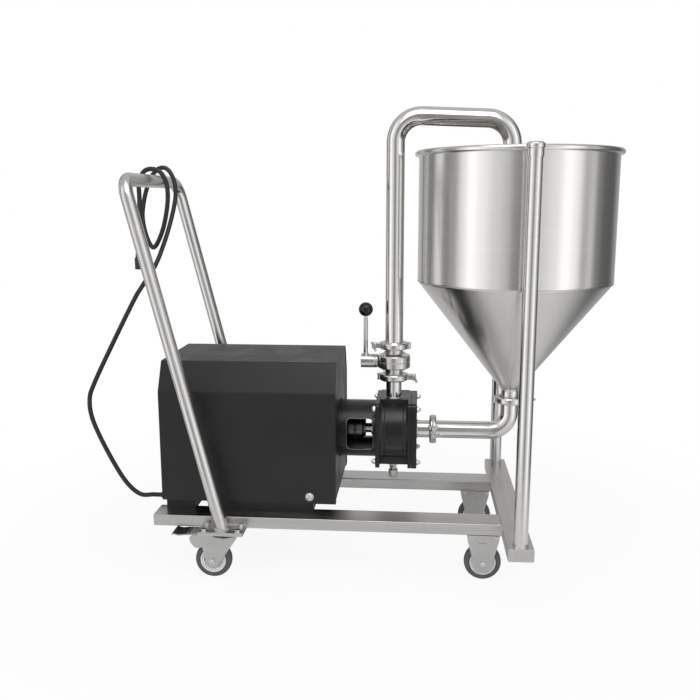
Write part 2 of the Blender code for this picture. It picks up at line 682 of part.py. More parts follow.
def make_hopper():
    """Rolled rim, straight wall, cone, neck and ferrule in one turned sheet."""
    outer = HOPPER_RADIUS
    inner = outer - HOPPER_WALL
    neck_inner = TUBE_RADIUS - TUBE_WALL
    bead = HOPPER_RIM_RADIUS
    bead_x = outer + HOPPER_RIM_OVERHANG
    face = NECK_CLAMP_HEIGHT + JOINT_HALF
    rim = arc((bead_x, HOPPER_RIM_HEIGHT), bead, 200, -110, 5)
    outside = [(outer, HOPPER_RIM_HEIGHT - bead * RIM_JOIN_SHARE), (outer, HOPPER_SHOULDER_HEIGHT),
               (TUBE_RADIUS, HOPPER_CONE_END_HEIGHT)]
    foot = ferrule_outline(TUBE_RADIUS, face, 1)
    step = HOPPER_WALL * SHEET_STEP_SHARE
    inside = [(neck_inner, face), (neck_inner, HOPPER_CONE_END_HEIGHT + step),
              (inner, HOPPER_SHOULDER_HEIGHT + step)]
    profile = rim + outside + foot + inside
    turned("hopper", profile, (HOPPER_X, 0, 0), Z_AXIS, POLISHED_STEEL, 40)


def ferrule_ring(name, place, axis, tube_radius):
    """A loose ferrule whose face lies at its own origin, to join to a tube."""
    inner = tube_radius - TUBE_WALL / 2
    rim = FERRULE_DIAMETER / 2
    profile = [(inner, FERRULE_THICKNESS), (tube_radius + TUBE_WALL, FERRULE_THICKNESS),
               (rim, FERRULE_THICKNESS * FERRULE_EDGE_SHARE), (rim, 0), (inner, 0)]
    return turned(name, profile, place, axis)


def make_elbow():
    """Feed pipe from the hopper's neck down and round to the pump's inlet."""
    top = Vector((HOPPER_X, 0, NECK_CLAMP_HEIGHT - JOINT_HALF))
    corner = Vector((HOPPER_X, 0, PUMP_AXIS_HEIGHT))
    end = Vector((PUMP_X + INLET_REACH + JOINT_HALF, 0, PUMP_AXIS_HEIGHT))
    route = bent_route([top, corner, end], ELBOW_BEND)
    pipe = hollow_tube("feed_elbow", route, TUBE_RADIUS, TUBE_WALL, POLISHED_STEEL)
    join(pipe, ferrule_ring("elbow_ferrule", top, -Z_AXIS, TUBE_RADIUS),
         ferrule_ring("inlet_ferrule", end, X_AXIS, TUBE_RADIUS))


def make_swan_neck():
    """Return pipe from the valve up, over the rim and down into the hopper."""
    foot = Vector((PUMP_X, 0, UPPER_CLAMP_HEIGHT + JOINT_HALF))
    rise = Vector((PUMP_X, 0, SWAN_TOP_HEIGHT))
    over = Vector((PUMP_X + SWAN_SPAN, 0, SWAN_TOP_HEIGHT - SWAN_FALL))
    end = Vector((PUMP_X + SWAN_SPAN, 0, SWAN_END_HEIGHT))
    route = bent_route([foot, rise, over, end], SWAN_BEND)
    pipe = hollow_tube("swan_neck", route, TUBE_RADIUS, TUBE_WALL, POLISHED_STEEL)
    join(pipe, ferrule_ring("swan_ferrule", foot, Z_AXIS, TUBE_RADIUS))


def make_clamp(name, place, axis, ear_side, nut_side):
    """A clamp band with ears, hinge knuckle and swing bolt, and its wing nut.

    The band lies about its local Z, its ears point to local +X, and the nut
    stands on the side of local Y that nut_side gives.
    """
    outer = CLAMP_DIAMETER / 2
    lip = CLAMP_LIP_DIAMETER / 2
    groove = clear_bore(FERRULE_DIAMETER / 2)
    half = CLAMP_HEIGHT / 2
    floor = JOINT_HALF + FERRULE_THICKNESS * FERRULE_EDGE_SHARE + SEAT_GAP
    slope = JOINT_HALF + FERRULE_THICKNESS + 2 * SEAT_GAP
    edge = half * CLAMP_EDGE_SHARE
    chamfer = outer - half + edge
    profile = [(lip, half), (chamfer, half), (outer, edge), (outer, -edge), (chamfer, -half),
               (lip, -half), (lip, -slope), (groove, -floor), (groove, floor), (lip, slope)]
    frame = frame_at(place, axis, ear_side)
    band = turned(name + "_band", profile, place, axis, POLISHED_STEEL)
    band.matrix_world = frame
    ear_start = outer - CLAMP_EAR_THICKNESS
    ear_length = CLAMP_EAR_REACH - ear_start
    ear_y = CLAMP_SLIT / 2 + CLAMP_EAR_THICKNESS / 2
    ear_x = ear_start + ear_length / 2
    for side in (-1, 1):
        join(band, block("clamp_ear", (ear_length, CLAMP_EAR_THICKNESS, CLAMP_EAR_HEIGHT),
                         (ear_x, side * ear_y, 0), matrix=frame))
    slit = (CLAMP_EAR_REACH, CLAMP_SLIT, CLAMP_HEIGHT + CUT_OVERRUN)
    cut(band, block("clamp_slit", slit, (CLAMP_EAR_REACH / 2 + lip / 2, 0, 0), matrix=frame))
    knuckle = rod("clamp_knuckle", KNUCKLE_RADIUS, CLAMP_HEIGHT, (0, 0, 0), Z_AXIS, sides=12)
    knuckle.matrix_world = frame @ Matrix.Translation((-outer, 0, 0))
    tail = CLAMP_SLIT / 2 + CLAMP_EAR_THICKNESS
    bolt_length = 2 * tail + CLAMP_BOLT_TAIL
    bolt = rod("swing_bolt", CLAMP_BOLT_RADIUS, bolt_length, (0, 0, 0), Z_AXIS, sides=12)
    turn = Matrix.Rotation(-nut_side * math.pi / 2, 4, "X")
    bolt_middle = nut_side * CLAMP_BOLT_TAIL / 2
    bolt.matrix_world = frame @ Matrix.Translation((CLAMP_BOLT_OFFSET, bolt_middle, 0)) @ turn
    join(band, knuckle, bolt)
    make_wing_nut(name, frame, nut_side * (tail + SEAT_GAP), turn)


def make_wing_nut(name, frame, start, turn):
    """A hub with two wings that lean outwards along the swing bolt."""
    nut_frame = frame @ Matrix.Translation((CLAMP_BOLT_OFFSET, start, 0)) @ turn
    bore = clear_bore(CLAMP_BOLT_RADIUS, WING_SIDES)
    profile = [(bore, WING_HUB_LENGTH), (WING_HUB_RADIUS * WING_HUB_TAPER_SHARE, WING_HUB_LENGTH),
               (WING_HUB_RADIUS, 0), (bore, 0)]
    nut = turned(name + "_wing_nut", profile, (0, 0, 0), Z_AXIS, POLISHED_STEEL, WING_SIDES)
    nut.matrix_world = nut_frame
    root = WING_HUB_RADIUS - WING_THICKNESS / 2
    low, high = (WING_HUB_LENGTH * share for share in WING_ROOT_SHARES)
    tip = arc((WING_REACH - low, WING_LENGTH - low), low, -60, 120, 2)
    outline = [(root, low)] + tip + [(root, high)]
    for side in (1, -1):
        mirrored = [(side * x, y) for x, y in outline]
        if side < 0:
            mirrored.reverse()
        upright = Matrix.Rotation(math.pi / 2, 4, "X")
        wing = flat_plate("wing", mirrored, WING_THICKNESS, nut_frame @ upright)
        join(nut, wing)


def make_clamps():
    """The four sanitary joints."""
    front = -1
    make_clamp("neck_clamp", (HOPPER_X, 0, NECK_CLAMP_HEIGHT), Z_AXIS, X_AXIS, front)
    make_clamp("inlet_clamp", (PUMP_X + INLET_REACH, 0, PUMP_AXIS_HEIGHT), X_AXIS, -Y_AXIS, front)
    make_clamp("lower_clamp", (PUMP_X, 0, LOWER_CLAMP_HEIGHT), Z_AXIS, X_AXIS, front)
    make_clamp("upper_clamp", (PUMP_X, 0, UPPER_CLAMP_HEIGHT), Z_AXIS, -X_AXIS, 1)


def square_flange(name, start, thickness, material=None):
    """A square plate with round corners across the pump axis."""
    outline = rounded_rectangle(PUMP_FLANGE_SIZE, PUMP_FLANGE_SIZE, PUMP_FLANGE_RADIUS)
    frame = frame_at((start + thickness / 2, 0, PUMP_AXIS_HEIGHT), X_AXIS, Y_AXIS)
    return flat_plate(name, outline, thickness, frame, material)


def stud_places():
    """Corner places of the flanges' studs across the pump axis."""
    half = STUD_PITCH / 2
    return [(y, PUMP_AXIS_HEIGHT + z) for y in (-half, half) for z in (-half, half)]


def make_pump_housing():
    """Drum between two square flanges, with the chamber and its three ports."""
    housing = square_flange("pump_housing", HOUSING_BACK, PUMP_BACK_FLANGE, BLACK_PAINT)
    drum_length = PUMP_DRUM_LENGTH + 2 * JOIN_OVERLAP
    drum_middle = (DRUM_START + DRUM_END) / 2
    axis = PUMP_AXIS_HEIGHT
    join(housing, rod("pump_drum", PUMP_DRUM_DIAMETER / 2, drum_length, (drum_middle, 0, axis),
                      X_AXIS, sides=32))
    join(housing, square_flange("pump_rim", DRUM_END, PUMP_RIM_FLANGE))
    for name, side, foot in (("outlet_boss", 1, PORT_RADIUS), ("drain_boss", -1, DRAIN_DIAMETER / 2)):
        reach = FLANGE_HALF - SEAT_GAP - CHAMBER_DIAMETER / 2
        place = (PUMP_X, 0, axis + side * (CHAMBER_DIAMETER / 2 + reach / 2))
        join(housing, rod(name, foot + TUBE_WALL, reach, place, sides=24))
    nut_middle = HOUSING_BACK - STUD_NUT_LENGTH / 2 + SEAT_GAP
    for y, z in stud_places():
        join(housing, rod("back_nut", STUD_NUT_RADIUS, STUD_NUT_LENGTH, (nut_middle, y, z), X_AXIS,
                          sides=6))
    chamber_start = HOUSING_BACK + CHAMBER_FLOOR
    chamber_length = HOUSING_FRONT - chamber_start + CUT_OVERRUN
    cut(housing, rod("chamber", CHAMBER_DIAMETER / 2, chamber_length,
                     (chamber_start + chamber_length / 2, 0, axis), X_AXIS, sides=28))
    seal_hole = CHAMBER_FLOOR + 2 * CUT_OVERRUN
    cut(housing, rod("seal_hole", clear_bore(SEAL_DIAMETER / 2), seal_hole,
                     (HOUSING_BACK + CHAMBER_FLOOR / 2, 0, axis), X_AXIS, sides=20))
    port_length = FLANGE_HALF
    port_offset = port_length / 2 + CHAMBER_DIAMETER * PORT_CUT_SHARE
    cut(housing, rod("outlet_bore", PORT_RADIUS - TUBE_WALL, port_length,
                     (PUMP_X, 0, axis + port_offset)))
    cut(housing, rod("drain_bore", DRAIN_DIAMETER / 2 * DRAIN_BORE_SHARE, port_length,
                     (PUMP_X, 0, axis - port_offset), sides=16))


def make_front_cover():
    """Square cover with four cap nuts and the seat of the inlet tube."""
    start = HOUSING_FRONT + SEAT_GAP
    cover = square_flange("pump_front_cover", start, PUMP_FRONT_COVER, BLACK_PAINT)
    face = start + PUMP_FRONT_COVER
    for y, z in stud_places():
        place = (face + STUD_NUT_LENGTH / 2 - SEAT_GAP, y, z)
        join(cover, rod("cap_nut", STUD_NUT_RADIUS, STUD_NUT_LENGTH, place, X_AXIS, sides=6))
    length = PUMP_FRONT_COVER + 2 * CUT_OVERRUN
    cut(cover, rod("inlet_bore", TUBE_RADIUS - TUBE_WALL, length,
                   (start + PUMP_FRONT_COVER / 2, 0, PUMP_AXIS_HEIGHT), X_AXIS))


def make_ports():
    """Inlet and outlet tubes with ferrules, and the drain plug."""
    start = HOUSING_FRONT + 2 * SEAT_GAP + PUMP_FRONT_COVER
    end = INLET_REACH - JOINT_HALF - (start - PUMP_X)
    inner = TUBE_RADIUS - TUBE_WALL
    neck = ferrule_outline(TUBE_RADIUS, end, -1)
    profile = [(inner, end)] + neck[::-1] + [(TUBE_RADIUS, 0), (inner, 0)]
    turned("inlet_port", profile, (start, 0, PUMP_AXIS_HEIGHT), X_AXIS, POLISHED_STEEL)
    foot = PUMP_AXIS_HEIGHT + FLANGE_HALF
    end = LOWER_CLAMP_HEIGHT - JOINT_HALF - foot
    inner = PORT_RADIUS - TUBE_WALL
    neck = ferrule_outline(PORT_RADIUS, end, -1)
    profile = [(inner, end)] + neck[::-1] + [(PORT_RADIUS, 0), (inner, 0)]
    turned("outlet_port", profile, (PUMP_X, 0, foot), Z_AXIS, POLISHED_STEEL)
    bottom = PUMP_AXIS_HEIGHT - FLANGE_HALF
    plug = rod("drain_plug", DRAIN_DIAMETER / 2, DRAIN_LENGTH, (PUMP_X, 0, bottom - DRAIN_LENGTH / 2),
               Z_AXIS, BRUSHED_STEEL)
    hex_middle = bottom - DRAIN_LENGTH - DRAIN_HEX_LENGTH / 2 + SEAT_GAP
    join(plug, rod("plug_hex", DRAIN_HEX_RADIUS, DRAIN_HEX_LENGTH, (PUMP_X, 0, hex_middle), sides=6))


def slotted_ring(thing, outer, start, length, count, slot):
    """Cut slots all round a ring about the pump axis, a pair with each cutter."""
    for k in range(count // 2):
        turn = Matrix.Rotation(math.pi * 2 * k / count, 4, "X")
        frame = Matrix.Translation((start + length / 2, 0, PUMP_AXIS_HEIGHT)) @ turn
        size = (length, 2 * (outer + CUT_OVERRUN), slot)
        cut(thing, block("slot", size, (0, 0, 0), matrix=frame))


def make_rotor_and_stator():
    """Slotted stator on the front cover, slotted rotor inside it on the shaft."""
    axis = PUMP_AXIS_HEIGHT
    outer = STATOR_DIAMETER / 2
    inner = outer - STATOR_RING
    end = HOUSING_FRONT
    base = STATOR_RING
    profile = [(TUBE_RADIUS, 0), (outer, 0), (outer, -STATOR_LENGTH), (inner, -STATOR_LENGTH),
               (inner, -base), (TUBE_RADIUS, -base)]
    stator = turned("stator", profile, (end, 0, axis), X_AXIS, POLISHED_STEEL, 24)
    slot_length = STATOR_LENGTH - 2 * base
    slotted_ring(stator, outer, end - STATOR_LENGTH - CUT_OVERRUN, slot_length, STATOR_SLOTS,
                 STATOR_SLOT)
    tip = end - base - RUNNING_GAP
    out = inner - RUNNING_GAP
    disc = tip - ROTOR_LENGTH
    hub = clear_bore(SHAFT_DIAMETER / 2, 24)
    profile = [(out - ROTOR_RING, ROTOR_LENGTH), (out, ROTOR_LENGTH), (out, 0),
               (hub, 0), (hub, ROTOR_DISC), (out - ROTOR_RING, ROTOR_DISC)]
    rotor = turned("rotor", profile, (disc, 0, axis), X_AXIS, POLISHED_STEEL, 24)
    slotted_ring(rotor, out, disc + ROTOR_DISC, ROTOR_LENGTH, ROTOR_TEETH, ROTOR_SLOT)
    return disc


def make_shafts(rotor_back):
    """Pump shaft, mechanical seal, coupling and the motor's shaft end."""
    axis = PUMP_AXIS_HEIGHT
    coupling_middle = LANTERN_BACK + LANTERN_LENGTH / 2
    start = coupling_middle + SEAT_GAP
    end = rotor_back + ROTOR_DISC
    rod("pump_shaft", SHAFT_DIAMETER / 2, end - start, ((start + end) / 2, 0, axis), X_AXIS,
        BRUSHED_STEEL)
    seal_start = HOUSING_BACK + SEAT_GAP
    bore = clear_bore(SHAFT_DIAMETER / 2, 16)
    outer = SEAL_DIAMETER / 2
    step = outer * SEAL_STEP_SHARE
    profile = [(bore, SEAL_LENGTH), (step, SEAL_LENGTH), (step, SEAL_LENGTH / 2),
               (outer, SEAL_LENGTH / 2), (outer, 0), (bore, 0)]
    turned("mechanical_seal", profile, (seal_start, 0, axis), X_AXIS, POLISHED_STEEL, 16)
    motor_face = LANTERN_BACK - SEAT_GAP
    shaft_start = motor_face - MOTOR_END_SHIELD
    end = coupling_middle - SEAT_GAP
    rod("motor_shaft", MOTOR_SHAFT_DIAMETER / 2, end - shaft_start, ((shaft_start + end) / 2, 0, axis),
        X_AXIS, BRUSHED_STEEL)
    make_coupling(coupling_middle)


def make_coupling(middle):
    """Jaw coupling: two hubs meet in the middle with a groove of jaws."""
    half = COUPLING_LENGTH / 2
    outer = COUPLING_DIAMETER / 2
    neck = outer * COUPLING_NECK_SHARE
    nose = outer * COUPLING_NOSE_SHARE
    edge = half * COUPLING_EDGE_SHARE
    jaw = COUPLING_GROOVE / 2
    big = clear_bore(MOTOR_SHAFT_DIAMETER / 2)
    small = clear_bore(SHAFT_DIAMETER / 2)
    profile = [(small, half), (nose, half), (outer, edge), (outer, jaw), (neck, jaw), (neck, -jaw),
               (outer, -jaw), (outer, -edge), (nose, -half), (big, -half), (big, 0), (small, 0)]
    coupling = turned("coupling", profile, (middle, 0, PUMP_AXIS_HEIGHT), X_AXIS, BRUSHED_STEEL)
    for k in range(COUPLING_JAWS):
        turn = Matrix.Rotation(math.tau * k / COUPLING_JAWS, 4, "X")
        frame = Matrix.Translation((middle, 0, PUMP_AXIS_HEIGHT)) @ turn
        size = (COUPLING_GROOVE + 2 * JOIN_OVERLAP, outer * JAW_WIDTH_SHARE,
                outer - big - 2 * JOIN_OVERLAP)
        lift = outer - size[2] / 2 - SEAT_GAP
        join(coupling, block("jaw", size, (0, 0, lift), matrix=frame))


def make_lantern():
    """Cast lantern between motor and pump, with a window on each side."""
    outer = LANTERN_DIAMETER / 2
    inner = outer - LANTERN_WALL
    flange = LANTERN_FLANGE_DIAMETER / 2
    end = LANTERN_LENGTH
    profile = [(inner, end), (outer, end), (outer, LANTERN_FLANGE), (flange, LANTERN_FLANGE),
               (flange, 0), (inner, 0)]
    axis = PUMP_AXIS_HEIGHT
    lantern = turned("lantern", profile, (LANTERN_BACK, 0, axis), X_AXIS, BLACK_PAINT, 32)
    middle = LANTERN_FRONT - WINDOW_MARGIN - WINDOW_LENGTH / 2
    outline = rounded_rectangle(WINDOW_LENGTH, WINDOW_HEIGHT, WINDOW_CORNER)
    frame = frame_at((middle, 0, axis), Y_AXIS, X_AXIS)
    cut(lantern, flat_plate("window", outline, LANTERN_DIAMETER + CUT_OVERRUN, frame))


def make_valve():
    """Butterfly valve: body, disc with its stem, lever and ball knob."""
    half = VALVE_SPAN / 2 - JOINT_HALF
    body_half = VALVE_HEIGHT / 2
    outer = VALVE_DIAMETER / 2
    inner = TUBE_RADIUS - TUBE_WALL
    edge = body_half * VALVE_EDGE_SHARE
    flat = outer * VALVE_FACE_SHARE
    neck = body_half + VALVE_SHOULDER
    top = ferrule_outline(TUBE_RADIUS, half, -1)
    low = ferrule_outline(TUBE_RADIUS, -half, 1)
    profile = [(inner, half)] + top[::-1] + [
        (TUBE_RADIUS, neck), (flat, body_half), (outer, edge),
        (outer, -edge), (flat, -body_half), (TUBE_RADIUS, -neck),
    ] + low + [(inner, -half)]
    place = (PUMP_X, 0, VALVE_AXIS_HEIGHT)
    body = turned("valve_body", profile, place, Z_AXIS, POLISHED_STEEL)
    stem_hole = outer + CUT_OVERRUN
    cut(body, rod("stem_hole", clear_bore(STEM_RADIUS, 16), stem_hole,
                  (PUMP_X - stem_hole / 2, 0, VALVE_AXIS_HEIGHT), X_AXIS, sides=16))
    disc = rod("valve_disc", inner - RUNNING_GAP, VALVE_DISC_THICKNESS, place, Y_AXIS, POLISHED_STEEL,
               sides=32)
    stem_length = outer + STEM_ENGAGEMENT
    join(disc, rod("stem", STEM_RADIUS, stem_length,
                   (PUMP_X - stem_length / 2, 0, VALVE_AXIS_HEIGHT), X_AXIS, sides=16))
    make_lever(outer)


def make_lever(body_radius):
    """Round hub on the stem, upright rod and ball knob."""
    hub_middle = PUMP_X - body_radius - SEAT_GAP - LEVER_HUB_LENGTH / 2
    height = VALVE_AXIS_HEIGHT
    hub = rod("valve_lever", LEVER_HUB_DIAMETER / 2, LEVER_HUB_LENGTH, (hub_middle, 0, height), X_AXIS,
              POLISHED_STEEL, sides=32)
    rod_x = PUMP_X - LEVER_ROD_OFFSET
    flat = LEVER_KNOB_DIAMETER * KNOB_FLAT_SHARE
    knob_bottom = LEVER_KNOB_HEIGHT - flat
    rod_start = LEVER_HUB_DIAMETER / 4
    rod_middle = height + (rod_start + knob_bottom) / 2
    join(hub, rod("lever_rod", LEVER_ROD_DIAMETER / 2, knob_bottom - rod_start, (rod_x, 0, rod_middle),
                  sides=16))
    hole_start = PUMP_X - body_radius + CUT_OVERRUN
    hole_end = PUMP_X - body_radius - STEM_ENGAGEMENT - SEAT_GAP
    cut(hub, rod("stem_seat", clear_bore(STEM_RADIUS, 16), hole_start - hole_end,
                 ((hole_start + hole_end) / 2, 0, height), X_AXIS, sides=16))
    radius = LEVER_KNOB_DIAMETER / 2
    start = math.degrees(math.asin((SEAT_GAP - flat) / radius))
    ball = arc((0, 0), radius, 90, start, KNOB_STEPS)
    ball[0] = (0, radius)
    profile = ball + [(0, ball[-1][1])]
    turned("lever_knob", profile, (rod_x, 0, height + LEVER_KNOB_HEIGHT), Z_AXIS, BLACK_GLOSS, 16,
           ring=False)


def make_motor():
    """Finned motor on feet with its terminal box, fan cowl and end shields."""
    axis = PUMP_AXIS_HEIGHT
    face = LANTERN_BACK - SEAT_GAP
    start = face - MOTOR_LENGTH
    outer = MOTOR_DIAMETER / 2
    outline = []
    for k in range(MOTOR_FINS):
        angle = math.tau * k / MOTOR_FINS
        step = math.tau / MOTOR_FINS
        for share, high in FIN_SHARES:
            radius = outer - MOTOR_FIN_DEPTH * (1 - high)
            turn = angle + step * share
            outline.append((radius * math.cos(turn), radius * math.sin(turn)))
    barrel_length = MOTOR_LENGTH - 2 * MOTOR_END_SHIELD + 2 * JOIN_OVERLAP
    frame = frame_at((start + MOTOR_LENGTH / 2, 0, axis), X_AXIS, Y_AXIS)
    motor = flat_plate("motor", outline, barrel_length, frame, BLACK_PAINT)
    for middle in (start + MOTOR_END_SHIELD / 2, face - MOTOR_END_SHIELD / 2):
        join(motor, rod("end_shield", outer * MOTOR_SHIELD_SHARE, MOTOR_END_SHIELD, (middle, 0, axis),
                        X_AXIS, sides=32))
    foot_bottom = COVER_BOTTOM_HEIGHT
    foot_height = foot_bottom + MOTOR_FOOT_THICKNESS / 2
    leg_top = axis - outer / 2
    leg_start = foot_bottom + JOIN_OVERLAP
    leg_size = (MOTOR_LEG_LENGTH, MOTOR_LEG_WIDTH, leg_top - leg_start)
    for x_side in (-1, 1):
        x = start + MOTOR_LENGTH / 2 + x_side * MOTOR_FOOT_SPACING / 2
        join(motor, block("foot", (MOTOR_FOOT_LENGTH, 2 * MOTOR_FOOT_HALF_WIDTH, MOTOR_FOOT_THICKNESS),
                          (x, 0, foot_height)))
        for side in (-1, 1):
            y = side * (outer - MOTOR_LEG_WIDTH)
            join(motor, block("leg", leg_size, (x, y, (leg_top + leg_start) / 2)))
    box_height = axis + outer - TERMINAL_SEAT + TERMINAL_HEIGHT / 2
    join(motor, block("terminal_box", (TERMINAL_LENGTH, TERMINAL_WIDTH, TERMINAL_HEIGHT),
                      (start + MOTOR_LENGTH / 2, 0, box_height)))
    hole = MOTOR_END_SHIELD + 2 * CUT_OVERRUN
    cut(motor, rod("shaft_hole", clear_bore(MOTOR_SHAFT_DIAMETER / 2), hole,
                   (face - MOTOR_END_SHIELD / 2, 0, axis), X_AXIS))
    make_cowl(start - SEAT_GAP)


def make_cowl(end):
    """Fan cowl at the back of the motor, with a round air inlet."""
    outer = MOTOR_DIAMETER / 2
    inner = outer - MOTOR_COWL_WALL
    length = MOTOR_COWL_LENGTH
    hole = outer * COWL_INLET_SHARE
    edge = outer * COWL_EDGE_SHARE
    profile = [(inner, 0), (outer, 0), (outer, -length + edge), (outer - edge, -length),
               (hole, -length), (hole, MOTOR_COWL_WALL - length),
               (inner - edge, MOTOR_COWL_WALL - length), (inner, MOTOR_COWL_WALL + edge - length)]
    turned("fan_cowl", profile, (end, 0, PUMP_AXIS_HEIGHT), X_AXIS, BLACK_PAINT)


def make_cover():
    """Folded sheet over the motor, closed at the handle end, open below."""
    half = [(COVER_HALF_WIDTH - COVER_RETURN, COVER_BOTTOM_HEIGHT)] + [
        (COVER_HALF_WIDTH, COVER_BOTTOM_HEIGHT), (COVER_HALF_WIDTH, COVER_FOLD_HEIGHT),
        (COVER_TOP_HALF_WIDTH, COVER_TOP_HEIGHT)]
    folds = half + [(-y, z) for y, z in reversed(half)]
    shape = bmesh.new()
    relief = COVER_START + COVER_RELIEF
    near = [shape.verts.new((COVER_START, y, z)) for y, z in folds[1:-1]]
    middle = [shape.verts.new((relief, y, z)) for y, z in folds]
    far = [shape.verts.new((COVER_END, y, z)) for y, z in folds]
    for k in range(len(folds) - 1):
        shape.faces.new((middle[k], middle[k + 1], far[k + 1], far[k]))
    for k in range(len(near) - 1):
        shape.faces.new((near[k], near[k + 1], middle[k + 2], middle[k + 1]))
    shape.faces.new(near)
    bmesh.ops.recalc_face_normals(shape, faces=shape.faces)
    roof = max(shape.faces, key=lambda f: f.calc_center_median().z)
    if roof.normal.z < 0:
        bmesh.ops.reverse_faces(shape, faces=shape.faces)
    cover = put("motor_cover", mesh_from("motor_cover", shape), BLACK_PAINT)
    sheet = cover.modifiers.new("sheet", "SOLIDIFY")
    sheet.thickness = COVER_SHEET
    sheet.offset = -1
    sheet.use_even_offset = True
    folds_round = cover.modifiers.new("folds", "BEVEL")
    folds_round.width = COVER_SHEET * COVER_FOLD_SHARE
    folds_round.segments = 1
    folds_round.limit_method = "ANGLE"
    folds_round.angle_limit = math.radians(40)
    make_end_panel()


def make_end_panel():
    """Sheet that closes the pump end of the cover round the lantern."""
    clear = COVER_SHEET + PANEL_CLEARANCE
    slope = math.atan2(COVER_TOP_HEIGHT - COVER_FOLD_HEIGHT, COVER_HALF_WIDTH - COVER_TOP_HALF_WIDTH)
    side = COVER_HALF_WIDTH - clear
    bottom = COVER_BOTTOM_HEIGHT + clear
    fold = COVER_FOLD_HEIGHT - clear * math.tan((math.pi / 2 - slope) / 2)
    top = COVER_TOP_HEIGHT - clear
    crown = COVER_TOP_HALF_WIDTH - clear * math.tan(slope / 2)
    outline = [(side, bottom), (side, fold), (crown, top), (-crown, top), (-side, fold),
               (-side, bottom)]
    middle = COVER_END - PANEL_INSET - COVER_SHEET / 2
    panel = flat_plate("cover_end_panel", outline, COVER_SHEET, frame_at((middle, 0, 0), X_AXIS, Y_AXIS),
                       BLACK_PAINT)
    hole = LANTERN_DIAMETER / 2 + PANEL_HOLE_CLEARANCE
    cut(panel, rod("lantern_hole", hole, 4 * COVER_SHEET, (middle, 0, PUMP_AXIS_HEIGHT), X_AXIS,
                   sides=32))


def open_pan(name, start, length, half_width, top, bottom, sheet, material):
    """A folded pan, open below."""
    shape = bmesh.new()
    bmesh.ops.create_cube(shape, size=1)
    size = (length, 2 * half_width, top - bottom)
    bmesh.ops.scale(shape, vec=Vector(size), verts=shape.verts)
    bmesh.ops.translate(shape, vec=Vector((start + length / 2, 0, (top + bottom) / 2)),
                        verts=shape.verts)
    floor = [f for f in shape.faces if f.normal.z < -FACING_SHARE]
    bmesh.ops.delete(shape, geom=floor, context="FACES")
    pan = put(name, mesh_from(name, shape), material)
    shell = pan.modifiers.new("sheet", "SOLIDIFY")
    shell.thickness = sheet
    shell.offset = -1
    shell.use_even_offset = True
    return pan


def make_base():
    """Motor base on both rails, and the bar that carries the cover's far end."""
    top = COVER_BOTTOM_HEIGHT - SEAT_GAP
    bottom = DECK_HEIGHT + SEAT_GAP
    start = PUMP_X - BASE_START - BASE_LENGTH
    open_pan("motor_base", start, BASE_LENGTH, BASE_HALF_WIDTH, top, bottom, BASE_SHEET, BLACK_PAINT)
    start = COVER_START + SUPPORT_INSET
    support = open_pan("cover_support", start, SUPPORT_WIDTH, SUPPORT_HALF_WIDTH, top, bottom,
                       BASE_SHEET, BLACK_PAINT)
    middle = (DECK_HEIGHT + COVER_BOTTOM_HEIGHT) / 2
    cut(support, rod("boot_hole", clear_bore(BOOT_SPIGOT_RADIUS), 2 * (BASE_SHEET + CUT_OVERRUN),
                     (start, BOOT_SIDE, middle), X_AXIS, sides=20))


def make_handle():
    """Leaning U of round tube, welded into two foot plates beside the rails."""
    plate_top = RAIL_BOTTOM + FOOT_PLATE_THICKNESS
    foot_z = plate_top - FOOT_PLATE_THICKNESS / 2
    foot_x = PUMP_X - HANDLE_FOOT_OFFSET
    top_x = PUMP_X - HANDLE_TOP_OFFSET
    lean = Vector((top_x - foot_x, 0, HANDLE_TOP_HEIGHT - foot_z))
    foot = Vector((foot_x, 0, foot_z)) - lean.normalized() * HANDLE_DIAMETER
    top = Vector((top_x, 0, HANDLE_TOP_HEIGHT))
    side = Vector((0, HANDLE_HALF_WIDTH, 0))
    route = bent_route([foot - side, top - side, top + side, foot + side], HANDLE_BEND, 6)
    handle = hollow_tube("push_handle", route, HANDLE_RADIUS, HANDLE_WALL, BRUSHED_STEEL, 4)
    below = (4 * HANDLE_DIAMETER, 4 * HANDLE_HALF_WIDTH, 4 * HANDLE_DIAMETER)
    cut(handle, block("below_plates", below, (foot_x, 0, foot_z - below[2] / 2)))
    rail_side = RAIL_HALF_SPACING + RAIL_WIDTH / 2 + SEAT_GAP
    size = (FOOT_PLATE_LENGTH, FOOT_PLATE_REACH, FOOT_PLATE_THICKNESS)
    for way in (-1, 1):
        middle = (foot_x, way * (rail_side + FOOT_PLATE_REACH / 2), plate_top - size[2] / 2)
        join(handle, block("foot_plate", size, middle))
        drain = (foot_x, way * HANDLE_HALF_WIDTH, middle[2])
        cut(handle, rod("drain_hole", HANDLE_DRAIN_RADIUS, 2 * FOOT_PLATE_THICKNESS, drain, sides=10))


def make_wheel(name, x, y):
    """Nylon hub with a bored boss and a rubber tyre on it."""
    place = (x, y, WHEEL_RADIUS)
    half = HUB_WIDTH / 2
    rim = HUB_DIAMETER / 2
    web = HUB_WEB / 2
    bore = clear_bore(AXLE_RADIUS, 16)
    ring = rim - HUB_RIM
    profile = [(bore, half), (BOSS_RADIUS, half), (BOSS_RADIUS, web), (ring, web),
               (ring, half), (rim, half), (rim, -half), (ring, -half), (ring, -web),
               (BOSS_RADIUS, -web), (BOSS_RADIUS, -half), (bore, -half)]
    turned(name + "_wheel_hub", profile, place, Y_AXIS, GREY_NYLON, 16)
    seat = clear_bore(rim, 28)
    wide = TYRE_WIDTH / 2
    tread = WHEEL_RADIUS
    shoulder = tread - wide * SHOULDER_SHARE
    flat = wide * TREAD_SHARE
    profile = [(seat, wide), (shoulder, wide), (tread, flat), (tread, -flat), (shoulder, -wide),
               (seat, -wide)]
    turned(name + "_tyre", profile, place, Y_AXIS, GREY_RUBBER, 28)


